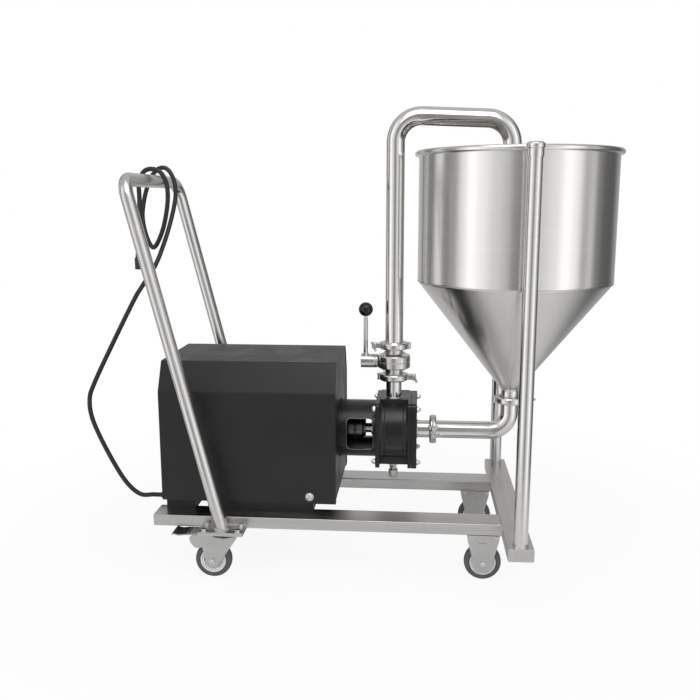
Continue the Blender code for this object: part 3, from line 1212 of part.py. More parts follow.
def make_axle(fork, x, y, cheek):
    """Axle bolt through both cheeks, with a head and a nut outside them."""
    join(fork, rod("axle", AXLE_RADIUS, 2 * (cheek + FORK_SHEET) + AXLE_HEAD, (x, y, WHEEL_RADIUS),
                   Y_AXIS, sides=10))
    for side in (-1, 1):
        middle = y + side * (cheek + FORK_SHEET + AXLE_HEAD / 2 - SEAT_GAP)
        join(fork, rod("axle_head", AXLE_HEAD_RADIUS, AXLE_HEAD, (x, middle, WHEEL_RADIUS), Y_AXIS,
                       sides=6))


def make_fixed_caster(name, x, y):
    """Rigid caster: plate with two cheeks, axle, hub and tyre."""
    top = RAIL_BOTTOM - SEAT_GAP
    plate_middle = top - CASTER_PLATE_SHEET / 2
    plate = rounded_rectangle(FIXED_PLATE_LENGTH, CASTER_PLATE_WIDTH, CASTER_PLATE_CORNER)
    fork = flat_plate(name + "_fork", plate, CASTER_PLATE_SHEET,
                      frame_at((x, y, plate_middle)), ZINC_STEEL)
    cheek = TYRE_WIDTH / 2 + FORK_CLEARANCE
    radius = FIXED_FORK_FOOT_RADIUS
    lip = plate_middle - WHEEL_RADIUS
    outline = arc((0, 0), radius, 200, 340, 6) + [
        (FIXED_FORK_TOP_HALF, lip - 2 * CASTER_PLATE_SHEET), (FIXED_FORK_TOP_HALF, lip),
        (-FIXED_FORK_TOP_HALF, lip), (-FIXED_FORK_TOP_HALF, lip - 2 * CASTER_PLATE_SHEET)]
    for side in (-1, 1):
        frame = frame_at((x, y + side * (cheek + FORK_SHEET / 2), WHEEL_RADIUS), -Y_AXIS, X_AXIS)
        join(fork, flat_plate("cheek", outline, FORK_SHEET, frame))
    make_axle(fork, x, y, cheek)
    make_wheel(name, x, y)


def make_swivel_caster(name, x, y):
    """Swivel caster: plate with race, trailing fork, axle, wheel and brake pedal."""
    top = RAIL_BOTTOM - SEAT_GAP
    plate_middle = top - CASTER_PLATE_SHEET / 2
    outline = rounded_rectangle(CASTER_PLATE_LENGTH, CASTER_PLATE_WIDTH, CASTER_PLATE_CORNER)
    plate = flat_plate(name + "_plate", outline, CASTER_PLATE_SHEET,
                       frame_at((x, y, plate_middle)), ZINC_STEEL)
    race_bottom = top - CASTER_PLATE_SHEET - SWIVEL_RACE_HEIGHT
    race = [(0, top - CASTER_PLATE_SHEET / 2), (SWIVEL_RACE_RADIUS, top - CASTER_PLATE_SHEET / 2),
            (SWIVEL_RACE_RADIUS, race_bottom + SWIVEL_RACE_CHAMFER),
            (SWIVEL_RACE_RADIUS * SWIVEL_LIP_SHARE, race_bottom), (0, race_bottom)]
    join(plate, turned("race", race, (x, y, 0), ring=False, steps=16))
    crown_top = race_bottom - SEAT_GAP
    crown = rod(name + "_fork", SWIVEL_CROWN_RADIUS, FORK_SHEET, (x, y, crown_top - FORK_SHEET / 2),
                Z_AXIS, ZINC_STEEL, sides=20)
    cheek = TYRE_WIDTH / 2 + FORK_CLEARANCE
    radius = SWIVEL_FORK_FOOT_RADIUS
    drop = crown_top - WHEEL_RADIUS
    lip = SWIVEL_CROWN_RADIUS * SWIVEL_LIP_SHARE
    outline = arc((-SWIVEL_TRAIL, 0), radius, 170, 340, 6) + [
        (lip, drop - 2 * FORK_SHEET), (lip, drop), (-SWIVEL_TRAIL - TAIL_SLOPE_START, drop),
        (-SWIVEL_TRAIL - TAIL_REACH, drop - TAIL_SLOPE)]
    outline += [(-SWIVEL_TRAIL - a * WHEEL_RADIUS, b * WHEEL_RADIUS) for a, b in TAIL_SHARES]
    for side in (-1, 1):
        frame = frame_at((x, y + side * (cheek + FORK_SHEET / 2), WHEEL_RADIUS), -Y_AXIS, X_AXIS)
        join(crown, flat_plate("cheek", outline, FORK_SHEET, frame))
    bridge_length = SWIVEL_TRAIL + radius - 2 * JOIN_OVERLAP
    join(crown, block("bridge", (bridge_length, 2 * cheek + FORK_SHEET, FORK_SHEET - SEAT_GAP),
                      (x - bridge_length / 2, y, crown_top - FORK_SHEET / 2)))
    make_axle(crown, x - SWIVEL_TRAIL, y, cheek)
    make_wheel(name, x - SWIVEL_TRAIL, y)
    make_pedal(name, x, y, crown_top)


def make_pedal(name, x, y, crown_top):
    """Foot pedal over the fork's tail, with its pin between the cheeks."""
    axle_x = x - SWIVEL_TRAIL
    low = crown_top + RUNNING_GAP
    upper = [(-PEDAL_LENGTH * a, PEDAL_LENGTH * b + PEDAL_SHEET) for a, b in PEDAL_SHARES]
    lower = [(-PEDAL_LENGTH * a, PEDAL_LENGTH * b) for a, b in PEDAL_SHARES]
    frame = frame_at((axle_x - PEDAL_START, y, low), -Y_AXIS, X_AXIS)
    pedal = flat_plate(name + "_brake_pedal", upper + lower[::-1], PEDAL_WIDTH, frame, ZINC_STEEL)
    pivot_x = axle_x - PEDAL_PIVOT_OFFSET
    pivot_z = crown_top - PEDAL_PIVOT_DROP
    pin_length = 2 * (TYRE_WIDTH / 2 + FORK_CLEARANCE - SEAT_GAP)
    web_top = low + PEDAL_SHEET / 2
    web_size = (PEDAL_WEB_LENGTH, TYRE_WIDTH, web_top - pivot_z)
    join(pedal, block("pedal_web", web_size, (pivot_x, y, (web_top + pivot_z) / 2)),
         rod("pedal_pin", PEDAL_PIVOT_RADIUS, pin_length, (pivot_x, y, pivot_z), Y_AXIS, sides=12))


def make_casters():
    """Two braked swivel casters at the handle end, two rigid ones at the hopper."""
    for name, side in (("front_swivel", -1), ("rear_swivel", 1)):
        make_swivel_caster(name, PUMP_X - SWIVEL_OFFSET, side * SWIVEL_HALF_SPACING)
    for name, side in (("front_rigid", -1), ("rear_rigid", 1)):
        make_fixed_caster(name, PUMP_X + FIXED_CASTER_OFFSET, side * RAIL_HALF_SPACING)


def smooth_route(points):
    """Catmull-Rom curve through the points, read more closely in the loops."""
    fine = []
    padded = [points[0] * 2 - points[1]] + points + [points[-1] * 2 - points[-2]]
    for p0, p1, p2, p3 in zip(padded, padded[1:], padded[2:], padded[3:]):
        for k in range(CURVE_STEPS):
            t = k / CURVE_STEPS
            bend = (p0 * 2 - p1 * 5 + p2 * 4 - p3) * t * t + (p1 * 3 - p0 - p2 * 3 + p3) * t ** 3
            fine.append((p1 * 2 + (p2 - p0) * t + bend) / 2)
    fine.append(points[-1])
    route = [fine[0]]
    walked = 0.0
    for before, place in zip(fine, fine[1:]):
        walked += (place - before).length
        share = LOOP_SPACING if place.z > LOOP_HEIGHT else BOW_SPACING
        if walked >= CORD_DIAMETER * share:
            route.append(place)
            walked = 0.0
    if walked < CORD_DIAMETER:
        route.pop()
    route.append(fine[-1])
    return route


def make_cord():
    """Strain relief boot, cord over the handle's top bar, and its plug."""
    face = COVER_START + SUPPORT_INSET
    middle = (DECK_HEIGHT + COVER_BOTTOM_HEIGHT) / 2
    spigot = BASE_SHEET + BOOT_SPIGOT_TAIL
    profile = [(0, BOOT_LENGTH), (BOOT_TIP_RADIUS, BOOT_LENGTH),
               (BOOT_FLANGE_RADIUS * BOOT_NECK_SHARE, BOOT_FLANGE + SEAT_GAP),
               (BOOT_FLANGE_RADIUS, BOOT_FLANGE), (BOOT_FLANGE_RADIUS, SEAT_GAP),
               (BOOT_SPIGOT_RADIUS, SEAT_GAP), (BOOT_SPIGOT_RADIUS, -spigot), (0, -spigot)]
    turned("strain_relief", profile, (face, BOOT_SIDE, middle), -X_AXIS, BLACK_RUBBER, 14, ring=False)
    points = [Vector((PUMP_X + x, y, z)) for x, y, z in CORD_ROUTE]
    points[0] = Vector((face - BOOT_LENGTH - SEAT_GAP, BOOT_SIDE, middle))
    route = smooth_route(points)
    curve = tube_curve("power_cord", route, CORD_DIAMETER / 2, 2, caps=True)
    mesh_of_curve("power_cord", curve, BLACK_RUBBER)
    make_plug(points[-1], (points[-1] - points[-2]).normalized())


def make_plug(end, way):
    """Round plug with its pins, hanging from the cord's end."""
    collar = PLUG_LENGTH * PLUG_COLLAR_SHARE
    waist = (PLUG_RADIUS * PLUG_WAIST_SHARES[0], collar * PLUG_WAIST_SHARES[1])
    wall = PLUG_RADIUS * PLUG_RECESS_SHARES[0]
    recess = PLUG_LENGTH * PLUG_RECESS_SHARES[1]
    profile = [(0, recess), (wall, recess), (wall, PLUG_LENGTH), (PLUG_RADIUS, PLUG_LENGTH),
               (PLUG_RADIUS, collar), waist, (PLUG_NECK_RADIUS, 0), (0, 0)]
    frame = frame_at(end + way * SEAT_GAP, way)
    plug = turned("cord_plug", profile[::-1], (0, 0, 0), Z_AXIS, BLACK_RUBBER, 14, ring=False)
    plug.matrix_world = frame
    for k in range(PLUG_PINS):
        turn = Matrix.Rotation(math.tau * k / PLUG_PINS, 4, "Z")
        place = Matrix.Translation((wall / 2, 0, recess + PLUG_PIN_LENGTH / 2 - PLUG_PIN_RADIUS))
        pin = rod("plug_pin", PLUG_PIN_RADIUS, PLUG_PIN_LENGTH, (0, 0, 0), sides=6)
        pin.matrix_world = frame @ turn @ place
        join(plug, pin)


def main():
    """Build every piece of the homogenizer."""
    make_frame()
    make_posts()
    make_hopper_brackets()
    make_hopper()
    make_elbow()
    make_swan_neck()
    make_clamps()
    make_pump_housing()
    make_front_cover()
    make_ports()
    rotor_back = make_rotor_and_stator()
    make_shafts(rotor_back)
    make_lantern()
    make_valve()
    make_motor()
    make_cover()
    make_base()
    make_handle()
    make_casters()
    make_cord()


main()
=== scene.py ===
"""Dressed scene of an inline high shear homogenizer on its push cart.

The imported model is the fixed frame. The pieces around it are surfaces worked out
with numpy, in metres: +X points to the hopper end, -Y to the camera and +Z up.
"""

import logging
import math
from dataclasses import dataclass
from enum import Enum
from functools import cache
from typing import Sequence

import bmesh
import bpy
import numpy as np
from mathutils import Matrix


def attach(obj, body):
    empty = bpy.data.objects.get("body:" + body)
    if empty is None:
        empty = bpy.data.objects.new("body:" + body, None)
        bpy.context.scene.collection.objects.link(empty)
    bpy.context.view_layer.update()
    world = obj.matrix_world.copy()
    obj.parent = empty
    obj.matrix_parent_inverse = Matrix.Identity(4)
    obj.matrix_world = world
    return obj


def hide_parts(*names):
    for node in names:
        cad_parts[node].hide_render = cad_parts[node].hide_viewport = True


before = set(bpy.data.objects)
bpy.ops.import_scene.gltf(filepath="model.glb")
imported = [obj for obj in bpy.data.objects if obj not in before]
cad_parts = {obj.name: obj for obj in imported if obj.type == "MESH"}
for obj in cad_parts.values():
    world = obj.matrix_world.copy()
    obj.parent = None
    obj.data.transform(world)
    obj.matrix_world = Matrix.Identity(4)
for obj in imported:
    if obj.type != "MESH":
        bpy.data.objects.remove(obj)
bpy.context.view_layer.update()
LOG = logging.getLogger("homogenizer")

Array = np.ndarray
Colour = tuple[float, float, float]
Tree = bpy.types.NodeTree
Node = bpy.types.Node
Socket = bpy.types.NodeSocket
Object = bpy.types.Object
X, Y, Z = np.eye(3)

# Places that several sub-assemblies share
PUMP_X = 0.04825
HOPPER_X = 0.38225
AXIS_HEIGHT = 0.378
DECK_HEIGHT = 0.173
TUBE_RADIUS, TUBE_WALL = 0.0255, 0.002
FERRULE_RADIUS = 0.032
POST_SIDE = 0.343
SWIVEL_X, SWIVEL_SIDE = -0.41075, 0.215
RIGID_X, RIGID_SIDE = 0.30275, 0.172
SIDES = (("front", -1), ("rear", 1))
CART = "cart"

# Gap between two pieces that touch, overlap that hides a joint, and a bead's way off its tube
SEAT = 0.0003
LAP = 0.0002
WELD_REACH = 0.0006

# Sections round the hopper, longest rounding as a share of a side, and a length that counts as nought
HOPPER_STEPS = 240
LONGEST_ROUNDING = 0.46
TINY = 1e-9

# Sockets of a Mix node for colours
MIX_SHARE, MIX_LOW, MIX_HIGH, MIX_RESULT = 0, 6, 7, 2
WHITE = (1, 1, 1, 1)


# Numbers into points

def unit(vectors: Array) -> Array:
    """Vectors of length one along the last axis."""
    vectors = np.asarray(vectors, float)
    return vectors / np.linalg.norm(vectors, axis=-1, keepdims=True)


def walked(points: Array, axis: int) -> Array:
    """Distance walked along one axis of a grid of points, from nought."""
    lengths = np.linalg.norm(np.diff(points, axis=axis), axis=-1)
    start = np.zeros_like(np.take(lengths, [0], axis=axis))
    return np.cumsum(np.concatenate([start, lengths], axis=axis), axis=axis)


def rounded(corners: Sequence, size: float, steps: int = 4, closed: bool = False) -> Array:
    """Round the corners of an outline.

    Each corner becomes a parabola (1-t)^2 A + 2t(1-t) C + t^2 B, where A and B lie
    one size before and after the corner C, or nearer where a side is short.

    Args:
        corners: Points in two or three dimensions.
        size: How far from a corner its rounding starts.
        steps: Points on each rounding.
        closed: Whether the last corner leads back to the first.

    Returns:
        The outline's points.
    """
    points = np.asarray(corners, float)
    back = np.roll(points, 1, 0) - points
    ahead = np.roll(points, -1, 0) - points
    ends = []
    for way in (back, ahead):
        length = np.linalg.norm(way, axis=1, keepdims=True)
        reach = np.minimum(size, LONGEST_ROUNDING * length)
        ends.append(points + way / np.maximum(length, TINY) * reach)
    t = np.linspace(0, 1, steps)[None, :, None]
    start, end = ends[0][:, None], ends[1][:, None]
    curve = (1 - t) ** 2 * start + 2 * t * (1 - t) * points[:, None] + t ** 2 * end
    if closed:
        return curve.reshape(-1, points.shape[1])
    inner = curve[1:-1].reshape(-1, points.shape[1])
    return np.concatenate([points[:1], inner, points[-1:]])


def bent(corners: Sequence, radius: float, steps: int = 14) -> Array:
    """Straight runs joined by arcs of one radius.

    At each corner the spoke turns from the arc's start to its end as
    (S sin(w(1-t)) + E sin(wt)) / sin w, where w is the arc's angle.

    Args:
        corners: Ends and corners of the runs.
        radius: The arcs' radius.
        steps: Sections in each arc.

    Returns:
        Points along the route.
    """
    points = np.asarray(corners, float)
    corner = points[1:-1]
    back = unit(points[:-2] - corner)
    ahead = unit(points[2:] - corner)
    half = np.arccos(np.clip((back * ahead).sum(1), -1, 1))[:, None] / 2
    middle = corner + unit(back + ahead) * radius / np.sin(half)
    start = corner + back * radius / np.tan(half) - middle
    end = corner + ahead * radius / np.tan(half) - middle
    sweep = (math.pi - 2 * half)[:, None]
    t = np.linspace(0, 1, steps + 1)[None, :, None]
    spokes = start[:, None] * np.sin(sweep * (1 - t)) + end[:, None] * np.sin(sweep * t)
    arcs = middle[:, None] + spokes / np.sin(sweep)
    return np.concatenate([points[:1], arcs.reshape(-1, 3), points[-1:]])


def circle(radius: float, steps: int, start: float = 90.0, sweep: float = 360.0) -> Array:
    """Points on a circle or an arc: radius times (cos a, sin a), angles in degrees."""
    full = sweep >= 360
    angles = np.radians(start + np.linspace(0, sweep, steps, endpoint=not full))
    return radius * np.stack([np.cos(angles), np.sin(angles)], 1)


def hexagon(inner: float, steps: int = 8) -> Array:
    """A hexagon by its inner radius: r = inner / cos(a - nearest flat's angle)."""
    angles = np.arange(6 * steps) * math.tau / (6 * steps)
    radius = inner / np.cos((angles + math.pi / 6) % (math.pi / 3) - math.pi / 6)
    return radius[:, None] * np.stack([np.cos(angles), np.sin(angles)], 1)


def rectangle(length: float, width: float, radius: float, steps: int = 6) -> Array:
    """A rectangle about its middle with round corners."""
    corners = [(length / 2, width / 2), (-length / 2, width / 2), (-length / 2, -width / 2),
               (length / 2, -width / 2)]
    return rounded(corners, radius, steps, closed=True)


def spun(reach: Array, angles: Array, heights: Array) -> Array:
    """Rings of points (r cos a, r sin a, z), with a reach for each height and angle."""
    level = np.broadcast_to(heights[:, None], reach.shape)
    return np.stack([reach * np.cos(angles), reach * np.sin(angles), level], 2)


def stacked(rings: Sequence, heights: Sequence) -> Array:
    """Flat rings, each one lifted to its height."""
    return np.stack([np.column_stack([ring, np.full(len(ring), z)]) for ring, z in zip(rings, heights)])


def turned(profile: Sequence, edge: float, arc: Array, closed: bool) -> Array:
    """A profile of (radius, height), rounded, at each point of an arc: (r cos a, r sin a, h)."""
    line = np.asarray(profile, float)
    if edge:
        line = rounded(line, edge, 4, closed)
    return np.concatenate([line[:, None, :1] * arc[None], np.repeat(line[:, None, 1:], len(arc), 1)], 2)


def carried(path: Array, section: Array, normal: Array, scale: Array | float, closed: bool = False) -> Array:
    """Rings of a section along a path that lies in a plane.

    A section's point (x, y) lies at path + scale (x (tangent cross normal) + y normal).
    """
    ways = np.roll(path, -1, 0) - np.roll(path, 1, 0) if closed else np.gradient(path, axis=0)
    up = np.broadcast_to(unit(normal), path.shape)[:, None]
    side = unit(np.cross(unit(ways), up[:, 0]))[:, None]
    return path[:, None] + np.reshape(scale, (-1, 1, 1)) * (section[:, :1] * side + section[:, 1:] * up)


def dome(radius: float, rise: float, low: float = 0.0, last: float = 86.0, first: float = 0.0,
         steps: int = 9) -> Array:
    """Profile of a round end: radius cos a and low + rise sin a, with angles in degrees."""
    angles = np.radians(np.linspace(first, last, steps))
    return np.stack([radius * np.cos(angles), low + rise * np.sin(angles)], 1)


def square(near: float, far: float, low: float, high: float) -> list:
    """A square profile of (radius, height) between two radii and two heights."""
    return [(near, low), (far, low), (far, high), (near, high)]


@dataclass(frozen=True)
class Place:
    """An origin with three directions: side, third and axis, one in each row."""

    origin: Array
    rows: Array

    def world(self, points: Array) -> Array:
        """Local points in the object's frame."""
        return self.origin + np.asarray(points, float) @ self.rows

    def moved(self, x: float = 0, y: float = 0, z: float = 0) -> "Place":
        """The same directions at a local offset."""
        return Place(self.world((x, y, z)), self.rows)

    def turned(self, degrees: float) -> "Place":
        """The same place turned about its own axis."""
        c, s = math.cos(math.radians(degrees)), math.sin(math.radians(degrees))
        return Place(self.origin, np.array([[c, s, 0], [-s, c, 0], [0, 0, 1]]) @ self.rows)

    def along(self, axis: Array, side: Array) -> "Place":
        """The same origin with another axis and side."""
        return Place(self.origin, place_at(self.origin, axis, side).rows)

    def facing(self, side: int) -> "Place":
        """The same place, or with -1 the one turned half round its own side."""
        return Place(self.origin, self.rows * np.array([1, side, side])[:, None])

    def stood(self) -> "Place":
        """The same origin turned so that an outline's height runs along the old axis."""
        return Place(self.origin, np.stack([self.rows[0], self.rows[2], -self.rows[1]]))


def place_at(origin: Sequence[float], axis: Array = Z, side: Array | None = None) -> Place:
    """A place whose local Z points along axis and whose local X points along side.

    Args:
        origin: Where it is.
        axis: Direction of local Z.
        side: Direction of local X, made square to the axis. Left out, local Y
            points away from the camera wherever that can be.

    Returns:
        The place.
    """
    axis = unit(axis)
    if side is None:
        side = np.cross(Y, axis) if abs(axis @ Y) < 0.7 else X
    side = np.asarray(side, float)
    side = unit(side - axis * (side @ axis))
    return Place(np.array(origin, float), np.stack([side, np.cross(axis, side), axis]))


PUMP_AXIS = place_at((0, 0, AXIS_HEIGHT), X)


# Points into pieces

class Solid:
    """Closed surfaces that are gathered into one piece of the scene.

    The proportions of fasteners are to a hexagon's inner radius, and a bead's ripple
    is to its thickness.
    """

    CORNER_CUT = 1.01
    END_CUT = 0.97
    WASHER = 1.75
    CAP_WASHER = 1.6
    CAP = 0.86
    BOLT_TOP = 0.8
    THREAD_DEPTH = 0.35
    THREAD_SIDES = 18
    THREAD_LEVELS = 6
    RIPPLE = 0.16
    RIPPLE_LENGTH = 0.0035
    MERGE = 1e-7
    EDGE_ANGLES = np.radians([0, 30, 60, 90])

    def __init__(self, name: str) -> None:
        self.name = name
        self.points: list[Array] = []
        self.faces: list[list[int]] = []
        self.corners: list[Array] = []
        self.count = 0

    def loft(self, rings: Array, caps: bool = True, closed: bool = False) -> None:
        """Add the surface that runs through rings of points.

        Face (j, i) joins points i and i+1 of ring j with those of ring j+1.

        Args:
            rings: An array of rings, points and coordinates. Each ring is closed.
            caps: Close the first and the last ring with a flat face.
            closed: Join the last ring to the first.
        """
        count, around = rings.shape[:2]
        j, i = np.meshgrid(np.arange(count if closed else count - 1), np.arange(around), indexing="ij")
        index = np.arange(count * around).reshape(count, around) + self.count
        j2, i2 = (j + 1) % count, (i + 1) % around
        quads = np.stack([index[j, i], index[j, i2], index[j2, i2], index[j2, i]], -1)
        u = walked(np.concatenate([rings, rings[:, :1]], 1), 1).max(0)
        v = walked(np.concatenate([rings, rings[:1]], 0), 0).mean(1)
        corners = ((i, j), (i + 1, j), (i + 1, j + 1), (i, j + 1))
        grid = [np.stack([u[a], v[b]], -1) for a, b in corners]
        self.faces.extend(quads.reshape(-1, 4).tolist())
        self.corners.append(np.stack(grid, -2).reshape(-1, 2))
        if caps and not closed:
            for ring, row in ((rings[0], index[0, ::-1]), (rings[-1], index[-1])):
                spokes = ring - ring.mean(0)
                ways = [unit(spokes[k] + TINY) for k in (0, around // 4)]
                flat = np.stack([spokes @ way for way in ways], 1)
                self.faces.append(row.tolist())
                self.corners.append(flat[::-1] if row[0] > row[-1] else flat)
        self.points.append(rings.reshape(-1, 3))
        self.count += count * around

    def turn(self, place: Place, profile: Sequence, edge: float = 0.0, steps: int = 64,
             ring: bool = False) -> None:
        """Turn a profile of (radius, height) about the place's axis.

        A point at angle a is (r cos a, r sin a, h). A ring's profile is a closed
        loop; any other ends at the axis in a flat face.
        """
        rings = turned(profile, edge, circle(1.0, steps), ring)
        self.loft(place.world(rings), caps=not ring, closed=ring)

    def turn_part(self, place: Place, profile: Sequence, start: float, sweep: float, edge: float,
                  steps: int) -> None:
        """Turn a closed profile through part of a circle, in degrees, with flat ends."""
        rings = turned(profile, edge, circle(1.0, steps, start, sweep), True)
        self.loft(place.world(rings.swapaxes(0, 1)))

    def sweep(self, path: Array, section: Array, normal: Array, scale: Array | float = 1.0,
              closed: bool = False) -> None:
        """Carry a section along a path that lies in a plane."""
        self.loft(carried(path, section, normal, scale, closed), closed=closed)

    def pipe(self, path: Array, radius: float, steps: int = 56) -> None:
        """An open tube square to Y: out along the outer wall and back along the inner one."""
        outer, inner = (carried(path, circle(1.0, steps), Y, r) for r in (radius, radius - TUBE_WALL))
        self.loft(np.concatenate([outer, inner[::-1]]), closed=True)

    def rod(self, place: Place, radius: float, start: float, end: float, edge: float = 0.0004,
            steps: int = 32) -> None:
        """A round bar between two heights, with rounded ends."""
        edge = min(edge, radius / 2, (end - start) / 2)
        rim = [(radius - edge, start), (radius, start), (radius, end), (radius - edge, end)]
        self.turn(place, rounded(rim, edge, 4), steps=steps)

    def plate(self, place: Place, outline: Array, low: float, high: float, edge: float = 0.0006) -> None:
        """Raise an outline from one height to another, with rounded edges.

        Every point of the outline moves in along its mitre m, which is the sum of
        the two sides' normals divided by one plus their cosine.
        """
        following = np.roll(outline, -1, 0)
        before = unit(outline - np.roll(outline, 1, 0) + 1e-12)
        after = unit(following - outline + 1e-12)
        mitre = (before + after)[:, ::-1] * (-1, 1) / (1 + (before * after).sum(1))[:, None].clip(0.3)
        area = (outline[:, 0] * following[:, 1] - following[:, 0] * outline[:, 1]).sum()
        mitre = mitre * np.sign(area)
        a = self.EDGE_ANGLES
        insets = np.concatenate([edge * (1 - np.sin(a)), edge * (1 - np.sin(a[::-1]))])
        heights = np.concatenate([low + edge * (1 - np.cos(a)), high - edge * (1 - np.cos(a[::-1]))])
        flat = outline[None] + insets[:, None, None] * mitre[None]
        self.loft(place.world(stacked(flat, heights)))

    def block(self, place: Place, length: float, width: float, low: float, high: float,
              edge: float = 0.001, corner: float | None = None) -> None:
        """A box about the place's axis with all its edges rounded."""
        outline = rectangle(length, width, edge if corner is None else corner)
        self.plate(place, outline, low, high, edge)

    def nut(self, place: Place, inner: float, low: float, high: float, edge: float = 0.001) -> None:
        """A hexagon whose corners are cut to a cone at both ends."""
        flat = hexagon(inner)
        reach = np.linalg.norm(flat, axis=1, keepdims=True)
        trimmed = flat / reach * np.minimum(reach, inner * self.CORNER_CUT)
        rings = [trimmed * self.END_CUT, trimmed, flat, flat, trimmed, trimmed * self.END_CUT]
        heights = [low, low, low + edge, high - edge, high, high]
        self.loft(place.world(stacked(rings, heights)))

    def bolt(self, place: Place, inner: float, head: float, washer: float = 0.0008) -> None:
        """A hexagon bolt's head on a washer, above the place."""
        self.rod(place, inner * self.WASHER, 0, washer, 0.0003, 28)
        self.nut(place, inner, washer - 0.0001, washer + head, head * 0.16)
        self.rod(place, inner * self.BOLT_TOP, washer, washer + head + 0.0003, 0.0003, 20)

    def cap_nut(self, place: Place, inner: float, height: float) -> None:
        """A hexagon nut with a round cap: the cap's radius follows a quarter circle."""
        washer, radius, low = 0.001, inner * self.CAP, height * 0.5
        self.rod(place, inner * self.CAP_WASHER, 0, washer, 0.0004, 28)
        self.nut(place, inner, washer, low, 0.0008)
        cap = dome(radius, height - low, low, 88)
        self.turn(place, np.concatenate([[(radius, low - 0.002)], cap]), steps=28)

    def thread(self, place: Place, radius: float, start: float, end: float, pitch: float) -> None:
        """A screw thread: the radius rises and falls as a triangle of height/pitch - turn."""
        heights = np.arange(start, end, pitch / self.THREAD_LEVELS)
        angles = np.arange(self.THREAD_SIDES) / self.THREAD_SIDES
        wave = np.abs(((heights[:, None] / pitch - angles[None]) % 1) * 2 - 1)
        reach = radius - self.THREAD_DEPTH * pitch * wave
        self.loft(place.world(spun(reach, angles * math.tau, heights)))

    def weld(self, place: Place, radius: float, size: float, stretch: float = 1.0) -> None:
        """A weld bead round a tube: a ring whose thickness ripples along it."""
        count = max(12, int(math.tau * radius / self.RIPPLE_LENGTH))
        angles = np.linspace(0, math.tau, count * 4, endpoint=False)
        size_here = size * (1 + self.RIPPLE * np.cos(count * angles))
        path = np.stack([radius * stretch * np.cos(angles), radius * np.sin(angles)], 1)
        section = circle(1.0, 8)
        way = unit(path)
        flat = path[:, None] + size_here[:, None, None] * section[None, :, :1] * way[:, None]
        high = size_here[:, None, None] * section[None, :, 1:]
        self.loft(place.world(np.concatenate([flat, high], 2)), closed=True)

    def seam(self, start: Sequence[float], end: Sequence[float], size: float, normal: Array) -> None:
        """A straight weld bead with the same ripples."""
        length = float(np.linalg.norm(np.subtract(end, start)))
        count = max(3, int(length / self.RIPPLE_LENGTH))
        t = np.linspace(0, 1, count * 4 + 1)
        path = np.asarray(start, float) + t[:, None] * np.subtract(end, start)
        taper = np.minimum(1, np.minimum(t, 1 - t) * length / size + 0.35)
        ripples = 1 + self.RIPPLE * np.cos(count * math.tau * t)
        self.sweep(path, circle(size, 8), normal, taper * ripples)

    def build(self, finish: "Finish", body: str = CART, replaces: Sequence[str] = (),
              crease: float = 32.0) -> Object:
        """Make the piece, dress it and let it ride on a body.

        Args:
            finish: Its material.
            body: The CAD body that it moves with.
            replaces: CAD nodes that it stands for.
            crease: Angle in degrees over which an edge stays sharp.

        Returns:
            The piece.
        """
        mesh = bpy.data.meshes.new(self.name)
        mesh.from_pydata(np.concatenate(self.points).tolist(), [], self.faces)
        layer = mesh.uv_layers.new(name="surface")
        layer.data.foreach_set("uv", np.concatenate(self.corners).astype(np.float32).ravel())
        shape = bmesh.new()
        shape.from_mesh(mesh)
        bmesh.ops.remove_doubles(shape, verts=shape.verts, dist=self.MERGE)
        bmesh.ops.dissolve_degenerate(shape, edges=shape.edges, dist=self.MERGE)
        bmesh.ops.recalc_face_normals(shape, faces=shape.faces)
        shape.to_mesh(mesh)
        shape.free()
        mesh.shade_smooth()
        mesh.set_sharp_from_angle(angle=math.radians(crease))
        piece = new_object(self.name, mesh)
        normals = piece.modifiers.new("normals", "WEIGHTED_NORMAL")
        normals.keep_sharp = True
        return dress(piece, finish, body, replaces)


def new_object(name: str, data: bpy.types.ID) -> Object:
    """An object in the scene."""
    new = bpy.data.objects.new(name, data)
    bpy.context.scene.collection.objects.link(new)
    return new


def dress(piece: Object, finish: "Finish", body: str,
          replaces: Sequence[str] = ()) -> Object:
    """Give a new piece its material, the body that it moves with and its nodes."""
    finish.paint(piece)
    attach(piece, body)
    if replaces:
        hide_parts(*replaces)
    LOG.info("%s rides on %s", piece.name, body)
    return piece


def dress_nodes(finish: "Finish", *names: str) -> None:
    """Give CAD nodes that stay visible a finished material."""
    for name in names:
        finish.paint(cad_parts[name])
        LOG.info("%s is dressed", name)


# Materials

class Pattern(Enum):
    """Where a material's pattern is read."""

    OBJECT = "Object"
    SURFACE = "UV"


def feed(target: Node, inputs: dict) -> None:
    """Link a node's inputs to sockets, or set them to plain values."""
    for key, value in inputs.items():
        if isinstance(value, Socket):
            target.id_data.links.new(value, target.inputs[key])
        else:
            target.inputs[key].default_value = value


def node(tree: Tree, kind: str, inputs: dict | None = None, **settings) -> Node:
    """Add a shader node, set its properties, and link or set its inputs."""
    new = tree.nodes.new("ShaderNode" + kind)
    for key, value in settings.items():
        setattr(new, key, value)
    feed(new, inputs or {})
    return new


def noise(tree: Tree, vector: Socket, scale: Socket | float, detail: float, roughness: float = 0.5,
          distortion: float = 0.0) -> Socket:
    """Soft noise from nought to one."""
    return node(tree, "TexNoise", {"Vector": vector, "Scale": scale, "Detail": detail, "Roughness": roughness,
                                   "Distortion": distortion}).outputs["Fac"]


def combined(tree: Tree, first: Socket, second: Socket, operation: str = "ADD", **settings) -> Socket:
    """Two values added, or put together by another operation."""
    return node(tree, "Math", {0: first, 1: second}, operation=operation, **settings).outputs[0]


